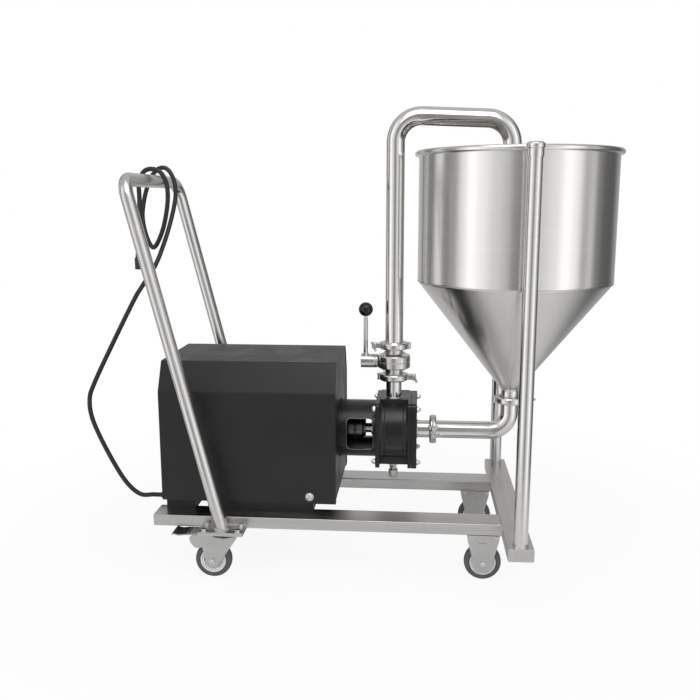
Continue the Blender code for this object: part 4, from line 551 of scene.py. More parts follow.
def ranged(tree: Tree, mask: Socket, low: float = 0.0, high: float = 1.0, start: float = 0.0,
           end: float = 1.0, smooth: bool = False) -> Socket:
    """A value between low and high, as the mask goes from start to end."""
    step = node(tree, "MapRange", {"Value": mask, "From Min": start, "From Max": end, "To Min": low,
                                   "To Max": high}, interpolation_type="SMOOTHSTEP" if smooth else "LINEAR")
    return step.outputs["Result"]


def mixed(tree: Tree, share: Socket, low: Socket | tuple, high: Socket | tuple) -> Socket:
    """A colour between two, as the share goes from nought to one."""
    mix = node(tree, "Mix", {MIX_SHARE: share, MIX_LOW: low, MIX_HIGH: high}, data_type="RGBA")
    return mix.outputs[MIX_RESULT]


def shade(colour: Colour, factor: float = 1.0) -> tuple:
    """A colour made lighter or darker, with its alpha of one."""
    return (*[min(1.0, channel * factor) for channel in colour], 1)


def new_group(name: str, inputs: dict[str, str], outputs: dict[str, str]) -> tuple:
    """A node group with named sockets, its input node's sockets and its output node."""
    tree = bpy.data.node_groups.new(name, "ShaderNodeTree")
    for way, sockets in (("INPUT", inputs), ("OUTPUT", outputs)):
        for key, kind in sockets.items():
            tree.interface.new_socket(key, in_out=way, socket_type="NodeSocket" + kind)
    return tree, tree.nodes.new("NodeGroupInput").outputs, tree.nodes.new("NodeGroupOutput")


@cache
def brush_marks() -> Tree:
    """Lines left by a belt or brush: fine and coarse stretched noise, added up."""
    tree, source, sink = new_group("brush_marks", {"Vector": "Vector"}, {"Lines": "Float"})
    fine = noise(tree, source["Vector"], 1.0, 4.0, 0.6)
    coarse = noise(tree, source["Vector"], 0.23, 2.0)
    feed(sink, {"Lines": ranged(tree, combined(tree, fine, coarse), start=0.7, end=1.3)})
    return tree


@cache
def clouds() -> Tree:
    """Broad soft variation, as of handling, wiping and uneven polish."""
    tree, source, sink = new_group("clouds", {"Vector": "Vector", "Scale": "Float"}, {"Mask": "Float"})
    soft = noise(tree, source["Vector"], source["Scale"], 3.0, 0.55, 0.3)
    feed(sink, {"Mask": ranged(tree, soft, start=0.35, end=0.65, smooth=True)})
    return tree


@cache
def orange_peel() -> Tree:
    """Small soft lumps, as of powder coat, moulded plastic and rubber."""
    tree, source, sink = new_group("orange_peel", {"Vector": "Vector", "Scale": "Float"}, {"Height": "Float"})
    cells = node(tree, "TexVoronoi", {"Vector": source["Vector"], "Scale": source["Scale"]},
                 feature="SMOOTH_F1")
    grains = noise(tree, source["Vector"], source["Scale"], 3.0)
    feed(sink, {"Height": combined(tree, cells.outputs["Distance"], grains)})
    return tree


@dataclass(frozen=True)
class Finish:
    """What every finish says: its name, its slot in the record and its colour."""

    name: str
    slot: str
    colour: Colour
    roughness: float

    @cache
    def material(self) -> bpy.types.Material:
        """The material, made once."""
        material = bpy.data.materials.new(self.name)
        material.use_nodes = True
        self.fill(material.node_tree, material.node_tree.nodes["Principled BSDF"])
        return material

    def paint(self, piece: Object) -> None:
        """Give an object this material alone."""
        piece.data.materials.clear()
        piece.data.materials.append(self.material())

    def fill(self, tree: Tree, shader: Node) -> None:
        """Set the shader's colour and roughness."""
        feed(shader, {"Base Color": shade(self.colour), "Roughness": self.roughness})


@dataclass(frozen=True)
class Steel(Finish):
    """Brushed or polished steel with its marks stretched along one way."""

    pattern: Pattern = Pattern.OBJECT
    marks: tuple[float, float, float] = (400.0, 400.0, 400.0)
    contrast: float = 0.1
    rough_change: float = 0.05
    depth: float = 0.00001
    anisotropy: float = 0.0
    metallic: float = 1.0
    cloud_scale: float = 7.0

    def fill(self, tree: Tree, shader: Node) -> None:
        """Lines in colour, roughness and height, and broad clouds in the roughness."""
        where = node(tree, "TexCoord").outputs
        stretched = node(tree, "Mapping", {"Vector": where[self.pattern.value], "Scale": self.marks})
        lines = node(tree, "Group", {"Vector": stretched.outputs[0]}, node_tree=brush_marks()).outputs[0]
        broad = node(tree, "Group", {"Vector": where["Object"], "Scale": self.cloud_scale},
                     node_tree=clouds()).outputs[0]
        dark, light = (shade(self.colour, 1 + k * self.contrast) for k in (-1, 1))
        change = self.rough_change
        fine = ranged(tree, lines, self.roughness - change, self.roughness + change)
        wide = ranged(tree, broad, -change, change)
        bump = node(tree, "Bump", {"Height": lines, "Strength": 1.0, "Distance": self.depth})
        feed(shader, {"Base Color": mixed(tree, lines, dark, light), "Metallic": self.metallic,
                      "Roughness": combined(tree, fine, wide, use_clamp=True), "Normal": bump.outputs[0]})
        if self.anisotropy:
            tangent = node(tree, "Tangent", direction_type="UV_MAP", uv_map="surface")
            feed(shader, {"Anisotropic": self.anisotropy, "Anisotropic Rotation": 0.25,
                          "Tangent": tangent.outputs[0]})


@dataclass(frozen=True)
class Coat(Finish):
    """Powder coat, plastic or rubber: a fine lumpy skin with a little dust on it."""

    grain: float = 900.0
    depth: float = 0.00006
    dust: Colour = (0.05, 0.05, 0.05)
    dust_share: float = 0.25
    dust_rough: float = 0.08
    coat: float = 0.0
    index: float = 1.5
    cloud_scale: float = 11.0

    def fill(self, tree: Tree, shader: Node) -> None:
        """Lumps in the height, and dust that lightens and dulls the skin in clouds."""
        where = node(tree, "TexCoord").outputs["Object"]
        lumps = node(tree, "Group", {"Vector": where, "Scale": self.grain}, node_tree=orange_peel())
        broad = node(tree, "Group", {"Vector": where, "Scale": self.cloud_scale},
                     node_tree=clouds()).outputs[0]
        share = ranged(tree, broad, high=self.dust_share)
        rough = ranged(tree, broad, self.roughness, self.roughness + self.dust_rough)
        bump = node(tree, "Bump", {"Height": lumps.outputs[0], "Strength": 1.0, "Distance": self.depth})
        feed(shader, {"Base Color": mixed(tree, share, shade(self.colour), shade(self.dust)),
                      "Roughness": rough, "Normal": bump.outputs[0], "IOR": self.index,
                      "Coat Weight": self.coat, "Coat Roughness": 0.06})


# Slots of the record that several finishes share
BRUSHED, POLISHED, POWDERED = "brushed_stainless", "polished_stainless", "black_powder_coat"

RAIL_STEEL = Steel("brushed_stainless_rails", BRUSHED, (0.6, 0.59, 0.57), 0.36,
                   marks=(5.0, 420.0, 420.0), contrast=0.09)
BEAM_STEEL = Steel("brushed_stainless_beam", BRUSHED, (0.6, 0.59, 0.57), 0.36,
                   marks=(420.0, 5.0, 420.0), contrast=0.09)
POST_STEEL = Steel("brushed_stainless_posts", BRUSHED, (0.72, 0.71, 0.69), 0.17,
                   marks=(60.0, 60.0, 500.0), contrast=0.03, rough_change=0.02, depth=0.0000006)
HANDLE_STEEL = Steel("satin_stainless_handle", BRUSHED, (0.66, 0.65, 0.63), 0.26,
                     pattern=Pattern.SURFACE, marks=(500.0, 60.0, 1.0), contrast=0.05, depth=0.000004)
HOPPER_STEEL = Steel("polished_stainless_hopper", POLISHED, (0.74, 0.73, 0.71), 0.2,
                     marks=(1.5, 1.5, 420.0), contrast=0.018, rough_change=0.02, depth=0.0000004,
                     anisotropy=0.7)
TUBE_STEEL = Steel("polished_stainless_tube", POLISHED, (0.74, 0.73, 0.71), 0.13,
                   pattern=Pattern.SURFACE, marks=(25.0, 500.0, 1.0), contrast=0.03, rough_change=0.03,
                   depth=0.000001)
FITTING_STEEL = Steel("polished_stainless_fittings", POLISHED, (0.64, 0.63, 0.61), 0.22,
                      marks=(90.0, 90.0, 90.0), contrast=0.05, rough_change=0.04, depth=0.000004)
TURNED_STEEL = Steel("turned_stainless", BRUSHED, (0.62, 0.61, 0.59), 0.27,
                     pattern=Pattern.SURFACE, marks=(10.0, 900.0, 1.0), contrast=0.08)
BOLT_STEEL = Steel("bolt_stainless", BRUSHED, (0.7, 0.69, 0.67), 0.24,
                   marks=(300.0, 300.0, 300.0), contrast=0.06)
# Weld beads, darker than the rails: partly the weld's own colour, partly painted shade for the dark ring
# round each post's foot
WELD_AND_SHADE_STEEL = Steel("weld_and_shade_stainless", BRUSHED, (0.56, 0.55, 0.53), 0.34,
                   marks=(500.0, 500.0, 500.0), contrast=0.12)
ZINC = Steel("zinc_plate", "zinc_plated_steel", (0.58, 0.575, 0.56), 0.38, marks=(60.0, 60.0, 90.0),
             contrast=0.05, metallic=0.92)
POWDER = Coat("black_powder_coat_satin", POWDERED, (0.008, 0.008, 0.009), 0.38, grain=1100.0,
              depth=0.00003, dust=(0.016, 0.016, 0.017), index=1.48)
CASTING = Coat("black_coated_casting", POWDERED, (0.005, 0.005, 0.006), 0.27, grain=420.0,
               depth=0.00004, dust=(0.01, 0.01, 0.011))
PHENOLIC = Coat("black_phenolic_gloss", "black_phenolic", (0.004, 0.004, 0.004), 0.09, grain=120.0,
                depth=0.000004, dust=(0.006, 0.006, 0.006), index=1.46)
TYRE_RUBBER = Coat("grey_tyre_rubber", "grey_rubber", (0.085, 0.085, 0.088), 0.62, grain=700.0,
                   depth=0.0001, dust=(0.15, 0.15, 0.15))
HUB_NYLON = Coat("light_grey_hub", "light_grey_nylon", (0.84, 0.84, 0.85), 0.34, grain=800.0,
                 depth=0.00003, dust=(0.74, 0.74, 0.74), coat=0.15)
CORD_RUBBER = Coat("black_cord_rubber", "black_rubber", (0.012, 0.012, 0.013), 0.42,
                   depth=0.00001, dust=(0.022, 0.022, 0.024))
GASKET = Coat("black_gasket", "black_rubber", (0.012, 0.012, 0.012), 0.55)
COUPLING_STEEL = Steel("dark_coupling_steel", BRUSHED, (0.16, 0.16, 0.165), 0.34, marks=(90.0, 90.0, 90.0))
# A pale, half metallic finish for the thin rims swept round the lantern's windows
PALE_WINDOW_RIM = Steel("pale_casting_rim", POWDERED, (0.26, 0.26, 0.26), 0.42, contrast=0.2, metallic=0.6)
SPIDER = Coat("coupling_spider_rubber", BRUSHED, (0.014, 0.014, 0.015), 0.5, grain=700.0,
              dust=(0.024, 0.024, 0.025))
PEDAL_PAD = Coat("pedal_pad_black", "zinc_plated_steel", (0.008, 0.008, 0.009), 0.5, grain=700.0,
                 dust=(0.016, 0.016, 0.016))


# Studio

@dataclass(frozen=True)
class Lamp:
    """A square soft lamp that points at a target, and may show in reflections."""

    name: str
    place: tuple
    target: tuple
    size: float
    power: float
    mirrored: bool = False

    def build(self) -> None:
        """Make the lamp with its back turned away from the target."""
        data = bpy.data.lights.new(self.name, "AREA")
        data.size = self.size
        data.energy = self.power
        lamp = new_object(self.name, data)
        lamp.visible_glossy = self.mirrored
        back = unit(np.subtract(self.place, self.target))
        rows = place_at(self.place, back, X).rows
        lamp.matrix_world = Matrix.Translation(self.place) @ Matrix(rows.T.tolist()).to_4x4()


@dataclass(frozen=True)
class Studio:
    """Camera, white floor, soft lamps and a plain grey surround with two bright walls.

    The bands are brightness round the room: compass angle in degrees from +X, and grey.
    """

    camera_place: tuple = (0.11295, -2.2943, 1.0325)
    pan: float = 4.8
    tilt: float = 79.6
    roll: float = -0.1
    lens: float = 41.43
    sensor: float = 36.0
    floor_radius: float = 9.0
    floor_sides: int = 96
    floor_grey: float = 0.8
    floor_white: float = 0.92
    white_reach: tuple = (0.7, 1.7)
    glossy_reach: tuple = (0.8, 1.6)
    ceiling_grey: float = 0.6
    ceiling_rise: tuple = (0.45, 0.85)
    blue_share: float = 1.01
    lamps: tuple = (Lamp("key", (-1.9, -2.3, 2.7), (0.0, 0.0, 0.6), 1.6, 15.0),
                    Lamp("fill", (2.3, -1.7, 2.2), (0.2, 0.0, 0.6), 1.4, 12.0),
                    Lamp("top", (0.1, -1.2, 2.4), (0.05, 0.0, 0.4), 1.5, 16.0, True))
    bands: tuple = ((-180, 0.3), (-170, 0.42), (-160, 1.00), (-148, 1.45), (-136, 1.15), (-118, 0.8),
                    (-106, 0.62), (-98, 0.32), (-90, 0.26), (-82, 0.5), (-68, 0.8), (-52, 1.00),
                    (-38, 1.45), (-26, 1.15), (-14, 0.5), (-4, 0.7), (6, 0.26), (20, 0.14), (36, 0.12),
                    (60, 0.38), (90, 0.6), (125, 0.48), (152, 0.24), (161, 0.9), (168, 0.95), (174, 0.3))

    def build(self) -> None:
        """Make the camera, the floor, the world and the lamps."""
        self.camera()
        self.floor()
        self.world()
        for lamp in self.lamps:
            lamp.build()
        bpy.context.scene.view_settings.view_transform = "Standard"

    def camera(self) -> None:
        """The camera that the photograph's straight edges give."""
        data = bpy.data.cameras.new("camera")
        data.sensor_fit = "HORIZONTAL"
        data.sensor_width = self.sensor
        data.lens = self.lens
        view = new_object("camera", data)
        turn = Matrix.Identity(4)
        for angle, axis in ((self.pan, "Z"), (self.tilt, "X"), (self.roll, "Z")):
            turn = turn @ Matrix.Rotation(math.radians(angle), 4, axis)
        view.matrix_world = Matrix.Translation(self.camera_place) @ turn
        bpy.context.scene.camera = view

    def floor(self) -> None:
        """A white disc that keeps the object's shadow and is white to the camera.

        Plain white rises with the distance, so that no edge shows where the floor ends.
        To reflections it ends near the object, whose steel then shows the room's panels.
        """
        ring = circle(self.floor_radius, self.floor_sides)
        mesh = bpy.data.meshes.new("floor")
        mesh.from_pydata(np.column_stack([ring, np.zeros(len(ring))]).tolist(), [], [list(range(len(ring)))])
        floor = new_object("floor", mesh)
        material = bpy.data.materials.new("studio_floor")
        material.use_nodes = True
        tree = material.node_tree
        tree.nodes.clear()
        grey = (*[self.floor_grey] * 3, 1)
        paint = node(tree, "BsdfDiffuse", {"Color": grey}).outputs[0]
        glow = node(tree, "Emission", {"Color": WHITE, "Strength": 1.0}).outputs[0]
        path = node(tree, "LightPath").outputs
        where = node(tree, "TexCoord").outputs["Object"]
        reach = node(tree, "VectorMath", {0: where}, operation="LENGTH").outputs["Value"]
        white = ranged(tree, reach, self.floor_white, 1.0, *self.white_reach, smooth=True)
        share = combined(tree, path["Is Camera Ray"], white, "MULTIPLY")
        seen = node(tree, "MixShader", {0: share, 1: paint, 2: glow}).outputs[0]
        far = ranged(tree, reach, 0.0, 1.0, *self.glossy_reach, smooth=True)
        ends = combined(tree, path["Is Glossy Ray"], far, "MULTIPLY")
        clear = node(tree, "BsdfTransparent").outputs[0]
        whole = node(tree, "MixShader", {0: ends, 1: seen, 2: clear})
        node(tree, "OutputMaterial", {"Surface": whole.outputs[0]})
        mesh.materials.append(material)

    def world(self) -> None:
        """White to the camera; to the object a grey room with soft bright panels.

        The panels are bands over the compass angle atan2(y, x), under a light ceiling.
        """
        world = bpy.data.worlds.new("studio")
        bpy.context.scene.world = world
        world.use_nodes = True
        tree = world.node_tree
        tree.nodes.clear()
        where = node(tree, "TexCoord").outputs["Generated"]
        parts = node(tree, "SeparateXYZ", {"Vector": where}).outputs
        angle = combined(tree, parts["Y"], parts["X"], "ARCTAN2")
        turn = ranged(tree, angle, start=-math.pi, end=math.pi)
        bands = node(tree, "ValToRGB", {"Fac": turn})
        bands.color_ramp.interpolation = "EASE"
        self.fill_ramp(bands.color_ramp)
        lift = ranged(tree, parts["Z"], 0.0, 1.0, *self.ceiling_rise, smooth=True)
        room = mixed(tree, lift, bands.outputs["Color"], (*[self.ceiling_grey] * 3, 1))
        path = node(tree, "LightPath").outputs
        seen = mixed(tree, path["Is Camera Ray"], room, WHITE)
        back = node(tree, "Background", {"Color": seen, "Strength": 1.0})
        node(tree, "OutputWorld", {"Surface": back.outputs[0]})

    def fill_ramp(self, ramp: bpy.types.ColorRamp) -> None:
        """Put the bands into a colour ramp, with the last one joining the first."""
        stops = self.bands + ((180, self.bands[0][1]),)
        while len(ramp.elements) > 1:
            ramp.elements.remove(ramp.elements[-1])
        for k, (angle, grey) in enumerate(stops):
            spot = (angle + 180) / 360
            element = ramp.elements[0] if k == 0 else ramp.elements.new(spot)
            element.position = spot
            element.color = (grey, grey, grey * self.blue_share, 1)


# Cord

@dataclass
class Cord:
    """The mains cord: boot, bow beside the handle, two turns over its bar, and plug."""

    diameter: float = 0.013
    exit: tuple = (-0.62605, -0.1, 0.1895)
    face_x: float = -0.59175
    curve_steps: int = 8
    bevel_steps: int = 8
    boot_start: float = 0.004
    boot_length: float = 0.034
    boot_radius: float = 0.0115
    boot_end_radius: float = 0.0085
    boot_flange: float = 0.0135
    boot_nut: float = 0.0125
    boot_nut_top: float = 0.0055
    groove: float = 0.0011
    grooves: float = 5.5
    groove_level: float = 0.25
    groove_first: float = 0.08
    groove_last: float = 0.93
    plug_length: float = 0.06
    plug_radius: float = 0.019
    plug_neck: float = 0.011
    plug_swell: float = 1.3
    flute: float = 0.0007
    flutes: int = 18
    band: float = 0.0006
    shroud_wall: float = 0.82
    shroud_floor: float = 0.78
    pins: int = 4
    pin_radius: float = 0.0025
    pin_length: float = 0.0145
    route: tuple = (
        (-0.674, -0.1, 0.1895), (-0.7, -0.1, 0.1895), (-0.7401, -0.1, 0.1905),
        (-0.7832, -0.1, 0.2313), (-0.8324, -0.1, 0.3217), (-0.8699, -0.098, 0.4109),
        (-0.8778, -0.094, 0.4695), (-0.8645, -0.088, 0.5159), (-0.8146, -0.062, 0.6267),
        (-0.754, -0.03, 0.7544), (-0.7321, -0.01, 0.7961), (-0.7037, 0.02, 0.8492),
        (-0.685, 0.05, 0.9089), (-0.6696, 0.078, 0.9754), (-0.6585, 0.095, 1.0368),
        (-0.6577, 0.102, 1.0778), (-0.6673, 0.104, 1.1114), (-0.684, 0.102, 1.1321),
        (-0.7055, 0.098, 1.1309), (-0.7265, 0.094, 1.1085), (-0.7398, 0.088, 1.0749),
        (-0.7481, 0.08, 1.0369), (-0.7511, 0.07, 0.9931), (-0.7423, 0.058, 0.9524),
        (-0.7272, 0.046, 0.9178), (-0.7113, 0.036, 0.9022), (-0.6934, 0.026, 0.9188),
        (-0.6729, 0.014, 0.9569), (-0.6566, 0.002, 1.0056), (-0.6477, -0.008, 1.0507),
        (-0.6494, -0.014, 1.0896), (-0.6629, -0.018, 1.1161), (-0.6849, -0.02, 1.1255),
        (-0.709, -0.022, 1.119), (-0.7235, -0.026, 1.089), (-0.7227, -0.032, 1.0451),
        (-0.7217, -0.038, 1.0005), (-0.7205, -0.042, 0.9502), (-0.7203, -0.044, 0.9052))

    def points(self) -> Array:
        """Catmull-Rom curve through the route, in the object's frame."""
        route = np.asarray(self.route) + (PUMP_X, 0, 0)
        route[0] = self.exit
        padded = np.concatenate([2 * route[:1] - route[1:2], route, 2 * route[-1:] - route[-2:-1]])
        p0, p1, p2, p3 = (padded[k:len(padded) - 3 + k][:, None] for k in range(4))
        t = (np.arange(self.curve_steps) / self.curve_steps)[None, :, None]
        bend = (p0 * 2 - p1 * 5 + p2 * 4 - p3) * t * t + (p1 * 3 - p0 - p2 * 3 + p3) * t ** 3
        curve = (p1 * 2 + (p2 - p0) * t + bend) / 2
        return np.concatenate([curve.reshape(-1, 3), route[-1:]])

    def build(self) -> None:
        points = self.points()
        curve = bpy.data.curves.new("power_cord_flex", "CURVE")
        curve.dimensions = "3D"
        curve.bevel_depth = self.diameter / 2
        curve.bevel_resolution = self.bevel_steps
        curve.use_fill_caps = True
        spline = curve.splines.new("POLY")
        spline.points.add(len(points) - 1)
        spline.points.foreach_set("co", np.column_stack([points, np.ones(len(points))]).ravel())
        spline.use_smooth = True
        flex = new_object("power_cord_flex", curve)
        dress(flex, CORD_RUBBER, CART, ["power_cord"])
        self.boot()
        on_cord = self.plug(points[-1], unit(points[-1] - points[-2]))

    def boot(self) -> None:
        """Tapered strain relief with grooves: its radius dips where sin of the length is high."""
        place = place_at((self.face_x, self.exit[1], self.exit[2]), -X)
        along = np.linspace(self.boot_start, self.boot_length, 60)
        share = (along - along[0]) / (along[-1] - along[0])
        radius = self.boot_radius + (self.boot_end_radius - self.boot_radius) * share
        dips = np.sin(share * math.tau * self.grooves) > self.groove_level
        groove = self.groove * dips * (share > self.groove_first) * (share < self.groove_last)
        cone = np.stack([radius - groove, along], 1)
        foot = [(self.boot_nut, SEAT), (self.boot_flange, 0.001), (self.boot_flange, self.boot_start)]
        piece = Solid("strain_relief_boot")
        piece.turn(place, np.concatenate([foot, cone]), steps=40)
        piece.nut(place, self.boot_nut, SEAT, self.boot_nut_top, 0.0006)
        piece.build(CORD_RUBBER, CART, ["strain_relief"])

    def plug(self, end: Array, way: Array) -> list[Object]:
        """A round plug: fluted grip, whose radius ripples round it, and a shroud with pins.

        Args:
            end: Where the cord ends.
            way: The cord's direction there.

        Returns:
            The pieces that move with the cord's end.
        """
        place = place_at(end + way * SEAT, way)
        r, long = self.plug_radius, self.plug_length
        collar = long * 0.45
        wall, bottom = r * self.shroud_wall, long * self.shroud_floor
        piece = Solid("cord_plug_body")
        z = np.linspace(0, collar, 14)
        angles = np.linspace(0, math.tau, 72, endpoint=False)
        share = (z / collar)[:, None]
        base = self.plug_neck + (r * 0.86 - self.plug_neck) * np.sin(share * math.pi / 2) ** self.plug_swell
        flutes = self.flute * np.cos(angles * self.flutes)[None] * np.sin(share * math.pi)
        piece.loft(place.world(spun(base + flutes, angles, z)))
        piece.turn(place, [(r * 0.7, collar), (r, collar), (r, long), (wall, long), (wall, bottom),
                           (r * 0.7, bottom)], 0.0008, 64, ring=True)
        piece.rod(place, r * 0.85, collar - 0.002, long * 0.79, 0.0006, 48)
        high = r + self.band
        band = [(r, collar + 0.004), (high, collar + 0.005), (high, collar + 0.007), (r, collar + 0.008),
                (r - 0.001, collar + 0.006)]
        piece.turn(place, band, steps=64, ring=True)
        plug = piece.build(CORD_RUBBER, CART, ["cord_plug"])
        pins = Solid("cord_plug_pins")
        low = long * 0.77
        for k in range(self.pins):
            spot = place.turned(90 * k).moved(x=r * 0.4)
            pins.rod(spot, self.pin_radius, low, low + self.pin_length, 0.0012, 20)
        return [plug, pins.build(BOLT_STEEL)]


# Cart frame

@dataclass
class CartFrame:
    """Two rails welded to the cross beam, the two posts and their welds."""

    rail_start: float = -0.61575
    rail_end: float = 0.34895
    rail_width: float = 0.078
    rail_height: float = 0.0325
    rail_cut: float = 0.0008
    beam_width: float = 0.066
    beam_half: float = 0.366
    beam_height: float = 0.034
    beam_cut: float = 0.0012
    post_radius: float = 0.0185
    post_top: float = 1.1645
    post_depth: float = 0.03
    post_cut: float = 0.0005
    post_weld: float = 0.0019
    edge: float = 0.0036
    edge_steps: int = 8
    weld: float = 0.0018
    weld_drop: float = 0.0007

    def build(self) -> None:
        """Make the rails, the beam and the posts."""
        for name, side in SIDES:
            middle = (self.rail_start, side * RIGID_SIDE, DECK_HEIGHT - self.rail_height / 2)
            rail = Solid(name + "_rail_tube")
            section = rectangle(self.rail_width, self.rail_height, self.edge, self.edge_steps)
            rail.plate(place_at(middle, X, Y), section, 0, self.rail_end - self.rail_start, self.rail_cut)
            rail.build(RAIL_STEEL, CART, [name + "_rail"])
            self.rail_welds(name, side)
            post = Solid(name + "_post_tube")
            spot = place_at((HOPPER_X, side * POST_SIDE, 0))
            post.rod(spot, self.post_radius, DECK_HEIGHT - self.post_depth, self.post_top, self.post_cut, 72)
            post.build(POST_STEEL, CART, [name + "_post"])
            # The foot bead's darker finish also paints the shadow ring where the post meets the deck
            foot = Solid(name + "_post_weld_and_shade")
            foot.weld(spot.moved(z=DECK_HEIGHT + LAP), self.post_radius + WELD_REACH, self.post_weld)
            foot.build(WELD_AND_SHADE_STEEL)
        beam = Solid("cross_beam_tube")
        section = rectangle(self.beam_height, self.beam_width, self.edge, self.edge_steps)
        place = place_at((HOPPER_X, -self.beam_half, DECK_HEIGHT - self.beam_height / 2), Y, Z)
        beam.plate(place, section, 0, 2 * self.beam_half, self.beam_cut)
        beam.build(BEAM_STEEL, CART, ["cross_beam"])

    def rail_welds(self, name: str, side: int) -> None:
        """Beads where a rail meets the beam: over its top and down both sides."""
        welds = Solid(name + "_rail_weld")
        x = self.rail_end + LAP
        near, far = (side * RIGID_SIDE + k * self.rail_width / 2 for k in (-1, 1))
        bead, low = DECK_HEIGHT - self.weld_drop, DECK_HEIGHT - self.rail_height
        welds.seam((x, near + self.edge, bead), (x, far - self.edge, bead), self.weld, Z)
        for y in (near, far):
            welds.seam((x, y, low + self.edge), (x, y, DECK_HEIGHT - self.edge), self.weld, Y)
        welds.build(WELD_AND_SHADE_STEEL)


# Hopper and its brackets

@dataclass
class Hopper:
    """Turned sheet hopper with a rolled rim, hung from two sleeves on the posts."""

    radius: float = 0.269
    wall: float = 0.0022
    wall_rise: float = 0.0009
    rim_height: float = 1.1625
    rim_drop: float = 0.0088
    bead: float = 0.0075
    bead_out: float = 0.004
    bead_start: float = -110.0
    bead_sweep: float = 310.0
    shoulder: float = 0.814
    cone_end: float = 0.503
    neck_face: float = 0.4728
    bend: float = 0.006
    ferrule_foot: float = 0.0295
    seams: tuple = (0.0011, 0.0013)
    sleeve_cap: float = 0.0205
    sleeve_radius: float = 0.0225
    sleeve_bore: float = 0.0188
    sleeve_top: float = 1.171
    sleeve_bottom: float = 1.135
    sleeve_lid: float = 0.007
    sleeve_tip: float = 0.0005
    arm_width: float = 0.01
    arm_low: float = 1.1273
    arm_high: float = 1.1513
    arm_lap: float = 0.0045
    arm_weld: float = 0.0013

    def build(self) -> None:
        """Make the bowl, its ring seams and the brackets."""
        place = place_at((HOPPER_X, 0, 0))
        outer = np.array([(self.radius, self.rim_height - self.rim_drop), (self.radius, self.shoulder),
                          (TUBE_RADIUS, self.cone_end), (TUBE_RADIUS, self.neck_face + 0.0055)])
        inner = outer[::-1] - (self.wall, 0)
        inner = inner[1:] + (0, self.wall_rise)
        rim = circle(self.bead, 22, self.bead_start, self.bead_sweep)[::-1]
        rim = rim + (self.radius + self.bead_out, self.rim_height)
        low = np.array([(self.ferrule_foot, self.neck_face + 0.0035),
                        (FERRULE_RADIUS, self.neck_face + 0.003), (FERRULE_RADIUS, self.neck_face),
                        (TUBE_RADIUS - self.wall, self.neck_face)])
        sheet = [rounded(outer, self.bend, 6), low, rounded(inner, self.bend, 6), rim]
        bowl = Solid("hopper_bowl")
        bowl.turn(place, np.concatenate(sheet), steps=HOPPER_STEPS, ring=True)
        bowl.build(HOPPER_STEEL, CART, ["hopper"], crease=40)
        seams = Solid("hopper_seams")
        a = np.linspace(0, math.tau, HOPPER_STEPS, endpoint=False)
        for (radius, height), size in zip(outer[1:3], self.seams):
            path = np.stack([radius * np.cos(a), radius * np.sin(a), np.full(HOPPER_STEPS, height)], 1)
            seams.sweep(path + (HOPPER_X, 0, 0), circle(size, 10) * (0.55, 1.0), Z, closed=True)
        seams.build(WELD_AND_SHADE_STEEL)
        for name, side in SIDES:
            self.bracket(name, side)

    def bracket(self, name: str, side: int) -> None:
        """A domed sleeve with a collar over the post's top, and its arm to the bowl."""
        place = place_at((HOPPER_X, side * POST_SIDE, 0))
        r, cap, bore, tip = self.sleeve_radius, self.sleeve_cap, self.sleeve_bore, self.sleeve_tip
        top, low, rim = self.sleeve_top, self.sleeve_bottom, self.rim_height
        lid = top - self.sleeve_lid
        outline = [(tip, top), (cap * 0.72, top - 0.0004), (cap, top - 0.0035), (cap, rim + 0.004),
                   (r, rim + 0.003), (r, rim - 0.0065), (cap, rim - 0.008), (cap, low), (bore, low),
                   (bore, lid), (tip, lid)]
        sleeve = Solid(name + "_hopper_sleeve")
        sleeve.turn(place, rounded(outline, 0.0012, 5), steps=72)
        gap = POST_SIDE - self.radius - r
        arm = place_at((HOPPER_X, side * (self.radius + gap / 2 + 0.001), 0))
        sleeve.block(arm, self.arm_width, gap + self.arm_lap, self.arm_low, self.arm_high, 0.0012)
        sleeve.build(POST_STEEL, CART, [name + "_hopper_bracket"])
        welds = Solid(name + "_bracket_weld")
        inner = side * (self.radius + 0.0008)
        for x in (HOPPER_X - self.arm_width / 2, HOPPER_X + self.arm_width / 2):
            ends = (x, inner, self.arm_low + 0.0007), (x, inner, self.arm_high - 0.0008)
            welds.seam(*ends, self.arm_weld, Y)
        welds.build(WELD_AND_SHADE_STEEL)


# Pipework

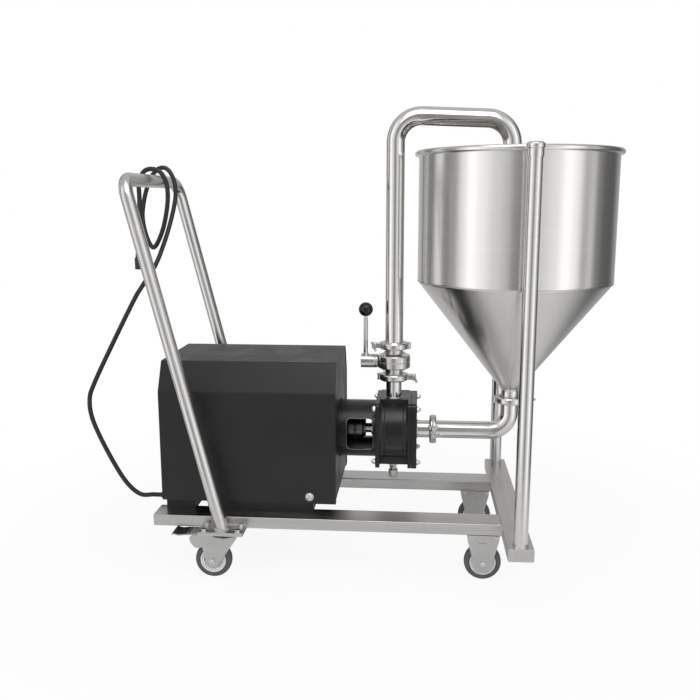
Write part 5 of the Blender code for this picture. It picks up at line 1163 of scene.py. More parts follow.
@dataclass
class Pipework:
    """Swan neck, feed elbow and the two ports, with ferrules, welds and gaskets."""

    ferrule: float = 0.0055
    half_gasket: float = 0.0013
    gasket_half: float = 0.00125
    gasket_inner: float = 0.0236
    gasket_outer: float = 0.0315
    swan_top: float = 1.268
    swan_reach: float = 0.318
    swan_fall: float = 1.254
    swan_end: float = 1.112
    swan_bend: float = 0.07
    elbow_bend: float = 0.055
    bend_steps: int = 28
    seam_half: float = 0.0012
    sample_plug: float = 0.0032
    neck_height: float = 0.4715
    inlet_x: float = 0.16325
    lower_height: float = 0.5335
    upper_height: float = 0.6255
    housing_top: float = 0.473
    cover_face: float = 0.11685
    port_radius: float = 0.0225
    port_weld: float = 0.0016

    def build(self) -> None:
        """Make the pipes, the ports and the gaskets."""
        self.swan_neck()
        self.elbow()
        self.ports()
        self.gaskets()

    def flange(self, solid: Solid, face: Sequence[float], axis: Array, tube: float) -> None:
        """A ferrule whose face is at a place, with its neck along the axis."""
        t, reach, bore = self.ferrule, FERRULE_RADIUS, tube - TUBE_WALL
        profile = [(bore, 0), (reach, 0), (reach, t * 0.5), (tube + 0.0035, t * 0.95),
                   (tube + 0.0004, t + 0.0035), (bore, t + 0.0035)]
        solid.turn(place_at(face, axis), profile, 0.0006, 64, ring=True)

    def swan_neck(self) -> None:
        """Return pipe: up from the valve, over the rim and down into the hopper."""
        foot = (PUMP_X, 0, self.upper_height + self.half_gasket)
        over = PUMP_X + self.swan_reach
        corners = [foot, (PUMP_X, 0, self.swan_top), (over, 0, self.swan_fall), (over, 0, self.swan_end)]
        path = bent(corners, self.swan_bend, self.bend_steps)
        neck = Solid("swan_neck_pipe")
        neck.pipe(path, TUBE_RADIUS)
        self.flange(neck, foot, Z, TUBE_RADIUS)
        inside, k = TUBE_RADIUS - 0.001, self.bend_steps + 1
        bead = [(inside, -self.seam_half), (TUBE_RADIUS + LAP, 0), (inside, self.seam_half)]
        for spot, axis in ((1, Z), (k, path[k + 1] - path[k - 1]), (k + 1, path[k + 2] - path[k])):
            neck.turn(place_at(path[spot], axis), bead, steps=56, ring=True)
        neck.build(TUBE_STEEL, CART, ["swan_neck"])

    def elbow(self) -> None:
        """Feed pipe from the hopper's neck round to the pump's inlet."""
        top = (HOPPER_X, 0, self.neck_height - self.half_gasket)
        end = (self.inlet_x + self.half_gasket, 0, AXIS_HEIGHT)
        path = bent([top, (HOPPER_X, 0, AXIS_HEIGHT), end], self.elbow_bend, self.bend_steps)
        pipe = Solid("feed_elbow_pipe")
        pipe.pipe(path, TUBE_RADIUS)
        self.flange(pipe, top, -Z, TUBE_RADIUS)
        self.flange(pipe, end, X, TUBE_RADIUS)
        spot = place_at((self.inlet_x + 0.018, -TUBE_RADIUS + 0.0012, AXIS_HEIGHT - 0.012), -Y)
        pipe.rod(spot, self.sample_plug, 0, 0.0022, 0.0012, 20)
        pipe.build(TUBE_STEEL, CART, ["feed_elbow"])

    def ports(self) -> None:
        """The pump's inlet and outlet tubes, each from its foot to its ferrule."""
        for name, spot, axis, radius, foot, face in (
                ("inlet", Z * AXIS_HEIGHT, X, TUBE_RADIUS, self.cover_face, self.inlet_x),
                ("outlet", X * PUMP_X, Z, self.port_radius, self.housing_top, self.lower_height)):
            port = Solid(name + "_port_tube")
            end = spot + axis * (face - self.half_gasket)
            port.pipe(np.array([spot + axis * foot, end]), radius)
            self.flange(port, end, -axis, radius)
            port.weld(place_at(spot + axis * (foot + 0.0004), axis), radius + 0.0004, self.port_weld)
            port.build(TUBE_STEEL, CART, [name + "_port"])

    def gaskets(self) -> None:
        """Black seals between the ferrules' faces."""
        near, far, half = self.gasket_inner, self.gasket_outer, self.gasket_half
        for name, spot, axis in (("neck", (HOPPER_X, 0, self.neck_height), Z),
                                 ("inlet", (self.inlet_x, 0, AXIS_HEIGHT), X),
                                 ("lower", (PUMP_X, 0, self.lower_height), Z),
                                 ("upper", (PUMP_X, 0, self.upper_height), Z)):
            seal = Solid(name + "_gasket")
            seal.turn(place_at(spot, axis), square(near, far, half, -half), 0.0004, 56, ring=True)
            seal.build(GASKET)


@dataclass
class SanitaryClamp:
    """A two part clamp band with a hinge, ears, swing bolt and wing nut."""

    name: str
    spot: tuple
    axis: Array
    ear_side: Array
    nut_side: int
    wing_turn: float
    inner: float = 0.0285
    groove: float = 0.0324
    groove_half: float = 0.0075
    outer: float = 0.0415
    half: float = 0.0095
    bevel: float = 0.0022
    ear_reach: float = 0.064
    ear_lap: float = 0.009
    ear: float = 0.008
    slit: float = 0.003
    hinge_gap: float = 1.2
    hinge_out: float = 0.0005
    knuckle: float = 0.0062
    knuckle_half: float = 0.003
    pin: float = 0.0022
    pin_past: float = 0.0012
    bolt_offset: float = 0.058
    bolt_radius: float = 0.003
    bolt_tail: float = 0.034
    eye: float = 0.0052
    eye_half: float = 0.0062
    pitch: float = 0.0012
    nut_radius: float = 0.0066
    nut_top: float = 0.0052
    nut_height: float = 0.01
    wing_half: float = 0.0034
    wing: tuple = ((0.003, 0.0015), (0.0085, 0.002), (0.015, 0.01), (0.0158, 0.0165), (0.0125, 0.0185),
                   (0.0095, 0.0165), (0.003, 0.0088))

    def build(self) -> None:
        """Make the band with its bolt, and the wing nut on its own body."""
        place = place_at(self.spot, self.axis, self.ear_side)
        self.band(place)
        self.wing_nut(place)

    def band(self, place: Place) -> None:
        """Two half rings with a tapered groove inside, the hinge and the ears."""
        r, h, n, g = self.outer, self.half, self.inner, self.groove
        profile = [(n, h), (r - self.bevel, h), (r, h * 0.62), (r, -h * 0.62), (r - self.bevel, -h), (n, -h),
                   (n, -self.groove_half), (g, -0.0047), (g, 0.0047), (n, self.groove_half)]
        band = Solid(self.name + "_band_halves")
        gap = math.degrees(math.asin(self.slit / 2 / r))
        for start in (gap, 180.0 + self.hinge_gap):
            band.turn_part(place, profile, start, 180.0 - gap - self.hinge_gap, 0.0009, 44)
        ear_start = r - self.ear_lap
        ear_half, hinge = self.groove_half, place.moved(x=-r - self.hinge_out)
        for side in (-1, 1):
            ear = place.moved(x=(ear_start + self.ear_reach) / 2, y=side * (self.slit + self.ear) / 2)
            band.block(ear, self.ear_reach - ear_start, self.ear, -ear_half, ear_half, 0.0014, 0.0028)
            middle = side * self.knuckle
            band.rod(hinge, self.knuckle, middle - self.knuckle_half, middle + self.knuckle_half, 0.0008, 28)
        band.rod(hinge, 0.0055, -0.0034, 0.0034, 0.0006, 28)
        band.rod(hinge, self.pin, -h - self.pin_past, h + self.pin_past, 0.0008, 18)
        tail, thin = self.slit / 2 + self.ear, self.bolt_radius - 0.0001
        bolt = place.moved(x=self.bolt_offset).along(place.rows[1] * self.nut_side, place.rows[2])
        band.rod(bolt, thin, -tail + 0.001, tail, 0.0004, 24)
        band.thread(bolt, self.bolt_radius, tail - 0.001, tail + self.bolt_tail - 0.0004, self.pitch)
        eye = place.moved(x=self.bolt_offset, y=-self.nut_side * (tail - 0.003))
        band.rod(eye, self.eye, -self.eye_half, self.eye_half, 0.0012, 28)
        band.build(FITTING_STEEL, CART, [self.name + "_band"], crease=38)

    def wing_nut(self, place: Place) -> None:
        """A hub with two rounded wings that lean along the bolt."""
        reach = self.nut_side * (self.slit / 2 + self.ear + SEAT)
        spot = place.moved(x=self.bolt_offset, y=reach)
        spot = spot.along(place.rows[1] * self.nut_side, place.rows[0]).turned(self.wing_turn)
        nut = Solid(self.name + "_wings")
        bore, wide, high = self.bolt_radius + 0.0001, self.nut_radius, self.nut_height
        nut.turn(spot, [(bore, LAP), (wide, LAP), (self.nut_top, high), (bore, high)], 0.0008, 32,
                 ring=True)
        for side in (1, -1):
            outline = rounded(np.array(self.wing) * (side, 1), 0.0028, 6, closed=True)
            nut.plate(spot.stood(), outline, -self.wing_half, self.wing_half, 0.0026)
        body = self.name.replace("_clamp", "_wing_nut")
        nut.build(FITTING_STEEL, body, [self.name + "_wing_nut"], crease=38)


# Pump

@dataclass
class Pump:
    """Pump head: drum between square flanges, front cover, studs, drain plug and lantern."""

    back: float = -0.00075
    drum_start: float = 0.01125
    drum_end: float = 0.09125
    front: float = 0.10025
    cover_face: float = 0.11655
    drum_radius: float = 0.089
    flange: float = 0.19
    flange_corner: float = 0.016
    flange_lap: float = 0.002
    groove_place: float = 0.0135
    groove_half: float = 0.001
    groove_depth: float = 0.0009
    pitch: float = 0.156
    pad: float = 0.034
    pad_starts: tuple = (-0.03, -0.052)
    outlet_boss: float = 0.0262
    drain_boss: float = 0.0185
    boss_low: float = 0.07
    boss_high: float = 0.0947
    parting_drop: float = 0.0265
    seat_radius: float = 0.04
    seat_inner: float = 0.0262
    stud: float = 0.004
    nut: float = 0.0066
    cap_height: float = 0.0118
    knurl: float = 0.0003
    knurls: int = 30
    plug_edge: float = 0.0125
    plug_radius: float = 0.0145
    plug_nut: float = 0.0104
    cap_stem: float = 0.007
    cap_radius: float = 0.0135
    cap_low: float = 0.03
    cap_side: float = 0.048
    cap_rise: float = 0.01
    lantern_back: float = -0.12505
    lantern_front: float = -0.00105
    lantern_radius: float = 0.083
    lantern_wall: float = 0.012
    lantern_rim: float = 0.0995
    lantern_steps: int = 112
    window_middle: float = -0.04625
    window_length: float = 0.076
    window_half: float = 0.046
    window_corner: float = 0.014
    window_rim: float = 0.0011
    shaft: float = 0.014
    shaft_end: float = 0.0717
    slinger: float = 0.0205
    hub_bore: float = 0.0142
    hub_radius: float = 0.035
    hub_neck: float = 0.0262
    hub_end: float = 0.03
    jaw_inner: float = 0.018
    jaw_outer: float = 0.0345
    jaw_reach: float = 0.0048
    jaws: int = 3
    spider_half: float = 0.0045

    def build(self) -> None:
        """Make the housing, its cover, the fasteners, the lantern and the shafts."""
        self.housing()
        self.cover()
        self.fasteners()
        self.drain()
        self.lantern()
        self.shafts()

    def outline(self) -> Array:
        """Outline of the square flanges."""
        return rectangle(self.flange, self.flange, self.flange_corner, 8)

    def housing(self) -> None:
        """Drum, flanges, fillets, parting line, pads and the bosses of outlet and drain."""
        body = Solid("pump_housing_casting")
        body.plate(PUMP_AXIS, self.outline(), self.back, self.drum_start, 0.0016)
        body.plate(PUMP_AXIS, self.outline(), self.drum_end, self.front, 0.0014)
        r, a, b, flange = self.drum_radius, self.drum_start, self.drum_end, self.flange / 2
        deep, inner = r - self.groove_depth, flange - self.flange_lap
        g, half = self.groove_place, self.groove_half
        drum = [(inner, a - 0.004), (inner, a), (r, a + 0.005), (r, a + g - half), (deep, a + g),
                (r, a + g + half), (r, b - g - half), (deep, b - g), (r, b - g + half), (r, b - 0.005),
                (inner, b), (inner, b + 0.004)]
        body.turn(PUMP_AXIS, drum, 0.0025, 128)
        low, high = self.boss_low, self.boss_high
        for way, radius in ((1, self.outlet_boss), (-1, self.drain_boss)):
            boss = [(radius, low), (radius, high), (radius - 0.003, high)]
            body.turn(place_at((PUMP_X, 0, AXIS_HEIGHT), Z * way), boss, 0.0015, 56)
        drop = self.parting_drop
        line = place_at((0, 0, AXIS_HEIGHT - drop), X)
        body.block(line, 0.0006, 2 * math.sqrt(r * r - drop ** 2) + 0.0007, a + 0.014, b - 0.014, 0.00025)
        for way, near in zip((1, -1), self.pad_starts):
            far = (near + flange - 0.001) / 2
            pad = place_at((0, far, AXIS_HEIGHT + way * (flange - self.pad / 2 - 0.0006)), X)
            body.block(pad, self.pad, 2 * (far - near), a - 0.003, b + 0.003, 0.002)
        body.build(CASTING, CART, ["pump_housing"])

    def cover(self) -> None:
        """Front cover with a raised round seat for the inlet tube."""
        plate = Solid("pump_front_plate")
        plate.plate(PUMP_AXIS, self.outline(), self.front + SEAT, self.cover_face, 0.0016)
        raised = self.cover_face + LAP
        plate.turn(PUMP_AXIS, [(self.seat_radius, self.cover_face - 0.002), (self.seat_radius, raised),
                               (self.seat_inner, raised)], 0.0004, 72)
        plate.build(CASTING, CART, ["pump_front_cover"])

    def fasteners(self) -> None:
        """Cap nuts in front, nuts and stud ends behind."""
        nuts = Solid("pump_cap_nuts")
        half = self.pitch / 2
        for y in (-half, half):
            for z in (-half, half):
                nuts.cap_nut(place_at((self.cover_face, y, AXIS_HEIGHT + z), X), self.nut, self.cap_height)
                back = place_at((self.back, y, AXIS_HEIGHT + z), -X)
                nuts.rod(back, 0.0095, 0, 0.0012, 0.0004, 28)
                nuts.nut(back, self.nut, 0.0012, 0.0078, 0.0008)
                nuts.thread(back, self.stud, 0.004, 0.0112, 0.00125)
        nuts.build(BOLT_STEEL)

    def drain(self) -> None:
        """Knurled drain plug with a hexagon under it, and the domed cap on its end."""
        place = place_at((PUMP_X, 0, AXIS_HEIGHT - self.flange / 2), -Z)
        edge, wide = self.plug_edge, self.plug_radius
        plug = Solid("drain_plug_turned")
        angles = np.linspace(0, math.tau, 120, endpoint=False)
        reach = np.array([edge, wide, wide, edge])[:, None] + self.knurl * np.cos(angles * self.knurls)[None]
        plug.loft(place.world(spun(reach, angles, np.array([SEAT, 0.0016, 0.0144, 0.016]))))
        plug.nut(place, self.plug_nut, 0.0155, 0.0257, 0.001)
        plug.build(TURNED_STEEL, CART, ["drain_plug"])
        foot = [(self.cap_stem, 0.025), (self.cap_stem, self.cap_low), (edge, self.cap_low),
                (self.cap_radius, 0.0312)]
        cap = Solid("drain_cap_turned")
        cap.turn(place, np.concatenate([foot, dome(self.cap_radius, self.cap_rise, self.cap_side)]), steps=56)
        cap.build(TURNED_STEEL)

    def lantern(self) -> None:
        """Cast ring between motor and pump with a window on each side.

        Two full rings close the ends. Between the windows the wall is an arc whose
        ends draw back by r - sqrt(r^2 - d^2) near the windows' round corners.
        """
        outer, inner = self.lantern_radius, self.lantern_radius - self.lantern_wall
        low = self.window_middle - self.window_length / 2
        high = self.window_middle + self.window_length / 2
        back, front, rim, corner = self.lantern_back, self.lantern_front, self.lantern_rim, self.window_corner
        body = Solid("lantern_casting")
        flange = [(inner, back + LAP), (rim, back + LAP), (rim, back + 0.01), (outer, back + 0.012),
                  (outer, low + 0.0004), (inner, low + 0.0004)]
        body.turn(PUMP_AXIS, flange, 0.0016, self.lantern_steps, ring=True)
        end = square(inner, outer, high - 0.0004, front)
        body.turn(PUMP_AXIS, end, 0.0012, self.lantern_steps, ring=True)
        ease = corner * (1 - np.cos(np.radians(np.linspace(0, 90, 9))))
        x = np.concatenate([low + ease, high - ease[::-1]])
        near = np.minimum(x - low, high - x).clip(0, corner)
        edge = self.window_half - (corner - np.sqrt(corner ** 2 - (corner - near) ** 2))
        for side in (1, -1):
            sections = []
            for reach, order in ((outer, 1), (inner, -1)):
                start = np.arcsin(edge / reach)
                share = np.linspace(0, 1, 40)[::order]
                angle = start[:, None] + (math.pi - 2 * start[:, None]) * share[None]
                sections.append(np.stack([np.broadcast_to(x[:, None], angle.shape), reach * np.cos(angle),
                                          AXIS_HEIGHT + side * reach * np.sin(angle)], 2))
            body.loft(np.concatenate(sections, 1))
        body.build(CASTING, CART, ["lantern"])
        # Thin pale metallic rims swept round the edge of both windows
        rims = Solid("lantern_window_rims")
        outline = rectangle(self.window_length, 2 * self.window_half, corner, 12)
        for side in (-1, 1):
            y = side * np.sqrt(outer ** 2 - outline[:, 1] ** 2 + 1e-9)
            path = np.column_stack([self.window_middle + outline[:, 0], y, AXIS_HEIGHT + outline[:, 1]])
            rims.sweep(path, circle(self.window_rim, 8), Y, closed=True)
        rims.build(PALE_WINDOW_RIM)

    def shafts(self) -> None:
        """Pump shaft with its slinger, and the jaw coupling on the motor's shaft."""
        middle = (self.lantern_back + self.lantern_front) / 2
        shaft = Solid("pump_shaft_turned")
        shaft.rod(PUMP_AXIS, self.shaft, middle + SEAT, self.shaft_end, 0.0008, 48)
        shaft.turn(PUMP_AXIS, square(0.0125, self.slinger, -0.016, -0.006), 0.0008, 48)
        shaft.build(TURNED_STEEL, "rotor_shaft", ["pump_shaft"])
        centre = PUMP_AXIS.moved(z=middle)
        jaw = Solid("coupling_hubs")
        bore, wide, neck, end = self.hub_bore, self.hub_radius, self.hub_neck, self.hub_end
        near, far, gap = self.jaw_inner, self.jaw_outer, self.jaw_reach
        for side in (-1, 1):
            hub = centre.facing(side)
            jaw.turn(hub, [(bore, 0.0052), (wide, 0.0052), (wide, 0.0215), (neck, 0.0245), (neck, end),
                           (bore, end)], 0.0012, 64, ring=True)
            jaw.rod(hub.moved(x=neck, z=0.0272).along(hub.rows[0], hub.rows[1]), 0.0022, -0.003, 0.0006,
                    0.0004, 16)
            for k in range(self.jaws):
                start = 120.0 * k + (60.0 if side < 0 else 0.0)
                jaw.turn_part(hub, square(near, far, -gap, 0.006), start + 6, 48, 0.0008, 12)
        jaw.build(COUPLING_STEEL, "rotor_shaft", ["coupling"])
        spider = Solid("coupling_spider")
        near, far, half = 0.016, 0.0335, self.spider_half
        for k in range(2 * self.jaws):
            spider.turn_part(centre, square(near, far, -half, half), 60.0 * k - 5, 10, 0.001, 5)
        spider.rod(centre, near + 0.001, -half, half, 0.0008, 40)
        spider.build(SPIDER, "rotor_shaft")


# Valve

@dataclass
class Valve:
    """Butterfly valve: body with its bolts, lever hub, rod and ball knob."""

    height: float = 0.5795
    radius: float = 0.047
    half: float = 0.0195
    span: float = 0.0447
    ferrule_neck: float = 0.029
    bevel: float = 0.0035
    joint: float = 0.001
    bolt_circle: float = 0.0375
    bolt: float = 0.0036
    bolt_head: float = 0.0034
    hub_start: float = -0.04705
    hub_end: float = 0.00095
    hub_radius: float = 0.02
    hub_groove: float = 0.0008
    rod_x: float = -0.03375
    rod_radius: float = 0.00625
    rod_collar: float = 1.35
    rod_tip: float = 0.8
    knob_height: float = 0.7295
    knob_radius: float = 0.0205
    knob_gap: float = 0.0192

    def build(self) -> None:
        """Make the body, the lever and its knob."""
        self.body()
        self.lever()
        self.knob()

    def body(self) -> None:
        """Two flanged halves with a fine joint between them, bolted together."""
        place = place_at((PUMP_X, 0, self.height))
        t, wide, half, neck, joint = self.span, self.radius, self.half, self.ferrule_neck, self.joint
        inner, ferrule = TUBE_RADIUS - TUBE_WALL, FERRULE_RADIUS
        upper = [(inner, t), (ferrule, t), (ferrule, t - 0.003), (neck, t - 0.0052), (TUBE_RADIUS, t - 0.009),
                 (TUBE_RADIUS, half + 0.003), (neck, half), (wide - self.bevel, half),
                 (wide, half - self.bevel), (wide, joint)]
        # The point under the joint stands twice, which keeps its edge sharp
        groove = [(wide - joint, LAP), (wide - joint, -LAP), (wide, -joint)]
        body = Solid("valve_body_halves")
        body.turn(place, upper + groove + [(r, -h) for r, h in upper[::-1]], 0.0008, 96, ring=True)
        for k in range(4):
            for side in (1, -1):
                spot = place.turned(45 + 90 * k).moved(x=self.bolt_circle, z=side * (half - LAP))
                body.bolt(spot.facing(side), self.bolt, self.bolt_head, 0.0006)
        body.build(FITTING_STEEL, CART, ["valve_body"], crease=38)

    def lever(self) -> None:
        """Hub on the stem with a groove, and the upright rod screwed into it."""
        place = place_at((0, 0, self.height), X)
        r, a, b = self.hub_radius, self.hub_start, self.hub_end
        deep = r - self.hub_groove
        lever = Solid("valve_lever_turned")
        lever.turn(place, [(r - 0.0015, a), (r, a), (r, b - 0.009), (deep, b - 0.0082), (deep, b - 0.0068),
                           (r, b - 0.006), (r, b), (r - 0.002, b)], 0.0012, 72)
        up = place_at((self.rod_x, 0, self.height))
        low, high = r - 0.002, self.knob_height - self.height - self.knob_gap
        thick, rod, thin = self.rod_radius * self.rod_collar, self.rod_radius, self.rod_radius * self.rod_tip
        lever.turn(up, [(thick, low), (thick, low + 0.0045), (rod, low + 0.006), (rod, high - 0.008),
                        (thin, high - 0.0072), (thin, high)], 0.0006, 40)
        lever.build(FITTING_STEEL, "valve_spindle", ["valve_lever"])

    def knob(self) -> None:
        """A ball with a flat under it where the rod enters."""
        knob = Solid("lever_ball")
        ball = dome(self.knob_radius, self.knob_radius, first=-70, last=89, steps=40)
        knob.turn(place_at((self.rod_x, 0, self.knob_height)), ball, steps=72)
        knob.build(PHENOLIC, "valve_spindle", ["lever_knob"])


# Motor cover

@dataclass
class MotorCover:
    """Folded sheet over the motor, its end panel and its bolts."""

    start: float = -0.59775
    end: float = -0.10475
    half: float = 0.181
    top_half: float = 0.139
    low: float = 0.206
    fold: float = 0.518
    top: float = 0.599
    sheet: float = 0.002
    bend: float = 0.0055
    inner_bend: float = 0.0036
    bend_steps: int = 7
    edge: float = 0.0004
    end_shrink: float = 0.0004
    lip: float = 0.024
    relief: float = 0.008
    panel_gap: float = 0.0026
    hole_radius: float = 0.087
    hole_steps: int = 96
    bolt_x: float = -0.178
    bolt_z: float = 0.2265
    bolt_radius: float = 0.0095
    bolt_rise: float = 0.0052
    washer_radius: float = 0.0118

    def outline(self, inset: float = 0.0) -> Array:
        """The cover's section, from one lower edge over the top to the other."""
        side, low = self.half - inset, self.low + inset
        slope = math.atan2(self.top - self.fold, self.half - self.top_half)
        fold = self.fold - inset * math.tan((math.pi / 2 - slope) / 2)
        crown = self.top_half - inset * math.tan(slope / 2)
        half = [(side, low), (side, fold), (crown, self.top - inset)]
        return np.array(half + [(-y, z) for y, z in half[::-1]])

    def build(self) -> None:
        """Make the sheet, the panel and the bolts, and dress what stays of the drive."""
        outside = rounded(self.outline(), self.bend, self.bend_steps)
        inside = rounded(self.outline(self.sheet), self.inner_bend, self.bend_steps)[::-1]
        section = np.concatenate([outside, inside])
        place = place_at((0, 0, 0), X, Y)
        cover = Solid("motor_cover_sheet")
        middle = section.mean(0)
        before = self.end - self.edge
        rings = [section, section, section + (middle - section) * self.end_shrink]
        cover.loft(place.world(stacked(rings, (self.start + self.sheet - SEAT, before, self.end))))
        for side in (-1, 1):
            y = side * (self.half - self.lip / 2 - self.edge)
            lip = place_at((0, y, self.low + self.sheet / 2), X, Y)
            cover.block(lip, self.lip, self.sheet, self.start + self.relief, before, 0.0005)
        closed_end = rounded(self.outline(), self.bend, self.bend_steps, closed=True)
        cover.plate(place, closed_end, self.start, self.start + self.sheet, 0.0005)
        cover.build(POWDER, CART, ["motor_cover"])
        panel = Solid("cover_end_sheet")
        hole = circle(self.hole_radius, self.hole_steps)
        panel.loft(place.world(self.holed(self.outline(self.panel_gap), hole)), closed=True)
        panel.build(POWDER, CART, ["cover_end_panel"])
        self.bolts()
        dress_nodes(POWDER, "motor_base", "cover_support")
        dress_nodes(CASTING, "motor", "fan_cowl")

    def holed(self, edge: Array, hole: Array) -> Array:
        """Rings of a flat sheet between a round hole and a straight edged outline.

        The outline's point at an angle is where the ray from the hole's middle meets
        the nearest of its sides: the smallest positive n.(p - c) / n.d.

        Args:
            edge: The outline's corners.
            hole: Points of the hole about its own middle.

        Returns:
            Rings over the front face, through the hole and back over the other face.
        """
        centre = np.array([0, AXIS_HEIGHT])
        sides = np.roll(edge, -1, 0) - edge
        normals = np.stack([sides[:, 1], -sides[:, 0]], 1)
        angles = np.arctan2(hole[:, 1], hole[:, 0])
        ways = np.stack([np.cos(angles), np.sin(angles)], 1)
        reach = ((edge - centre) * normals).sum(1)[None] / (ways @ normals.T + 1e-12)
        reach = np.where(reach > 1e-6, reach, np.inf).min(1)
        inner, outer = hole + centre, centre + ways * reach[:, None]
        front, back = self.end - self.sheet, self.end - 2 * self.sheet
        return stacked((outer, inner, inner, outer), (front, front, back, back))

    def bolts(self) -> None:
        """Round headed bolts low on both walls."""
        bolts = Solid("cover_bolts")
        for side in (-1, 1):
            spot = place_at((self.bolt_x, side * self.half, self.bolt_z), Y * side, X)
            bolts.rod(spot, self.washer_radius, -0.0004, 0.0012, 0.0004, 40)
            bolts.turn(spot, dome(self.bolt_radius, self.bolt_rise, 0.0008, 88, 4, 8), steps=40)
        bolts.build(BOLT_STEEL)


# Handle

@dataclass
class PushHandle:
    """Leaning bent tube handle, its foot plates, bolts and welds."""

    foot_x: float = -0.41275
    foot_z: float = 0.14575
    foot_rise: float = 0.004
    top_x: float = -0.64475
    top_z: float = 1.092
    half: float = 0.24
    radius: float = 0.018
    bend: float = 0.048
    plate_side: float = 0.2418
    plate_length: float = 0.124
    plate_width: float = 0.061
    plate_low: float = 0.1405
    plate_high: float = 0.151
    bolt_x: float = 0.047
    bolt_y: float = 0.0195
    bolt: float = 0.0058
    bolt_head: float = 0.0052
    foot_weld: float = 0.0026
    rail_side: float = 0.2112
    rail_weld: float = 0.0018
    rail_weld_half: float = 0.058

    def build(self) -> None:
        """Make the tube, then the plates with their bolts."""
        lean = unit((self.top_x - self.foot_x, 0, self.top_z - self.foot_z))
        foot = np.array([self.foot_x, 0, self.foot_z]) + lean * self.foot_rise
        top = np.array([self.top_x, 0, self.top_z])
        side = Y * self.half
        path = bent([foot - side, top - side, top + side, foot + side], self.bend, 24)
        tube = Solid("push_handle_tube")
        tube.sweep(path, circle(self.radius, 56), np.cross(lean, Y))
        tube.build(HANDLE_STEEL, CART, ["push_handle"])
        plates, bolts = Solid("handle_foot_plates"), Solid("handle_plate_bolts")
        welds = Solid("handle_foot_welds")
        shift, high, reach = lean[0] / lean[2], self.plate_high, self.rail_weld_half
        for way in (-1, 1):
            middle, rail = way * self.plate_side, way * self.rail_side
            spot = place_at((self.foot_x, middle, 0))
            plates.block(spot, self.plate_length, self.plate_width, self.plate_low, high, 0.0012, 0.004)
            ring = place_at((self.foot_x + shift * (high - self.foot_z), way * self.half, high + LAP))
            welds.weld(ring, self.radius + WELD_REACH, self.foot_weld, 1 / lean[2])
            for x in (-self.bolt_x, self.bolt_x):
                for y in (-self.bolt_y, self.bolt_y):
                    bolts.bolt(spot.moved(x, y, high), self.bolt, self.bolt_head, 0.0012)
            ends = (self.foot_x - reach, rail, high), (self.foot_x + reach, rail, high)
            welds.seam(*ends, self.rail_weld, Z)
        plates.build(RAIL_STEEL)
        bolts.build(BOLT_STEEL)
        welds.build(WELD_AND_SHADE_STEEL)


# Casters

class CasterKind(Enum):
    """The two kinds of caster."""

    SWIVEL = "swivel"
    RIGID = "rigid"


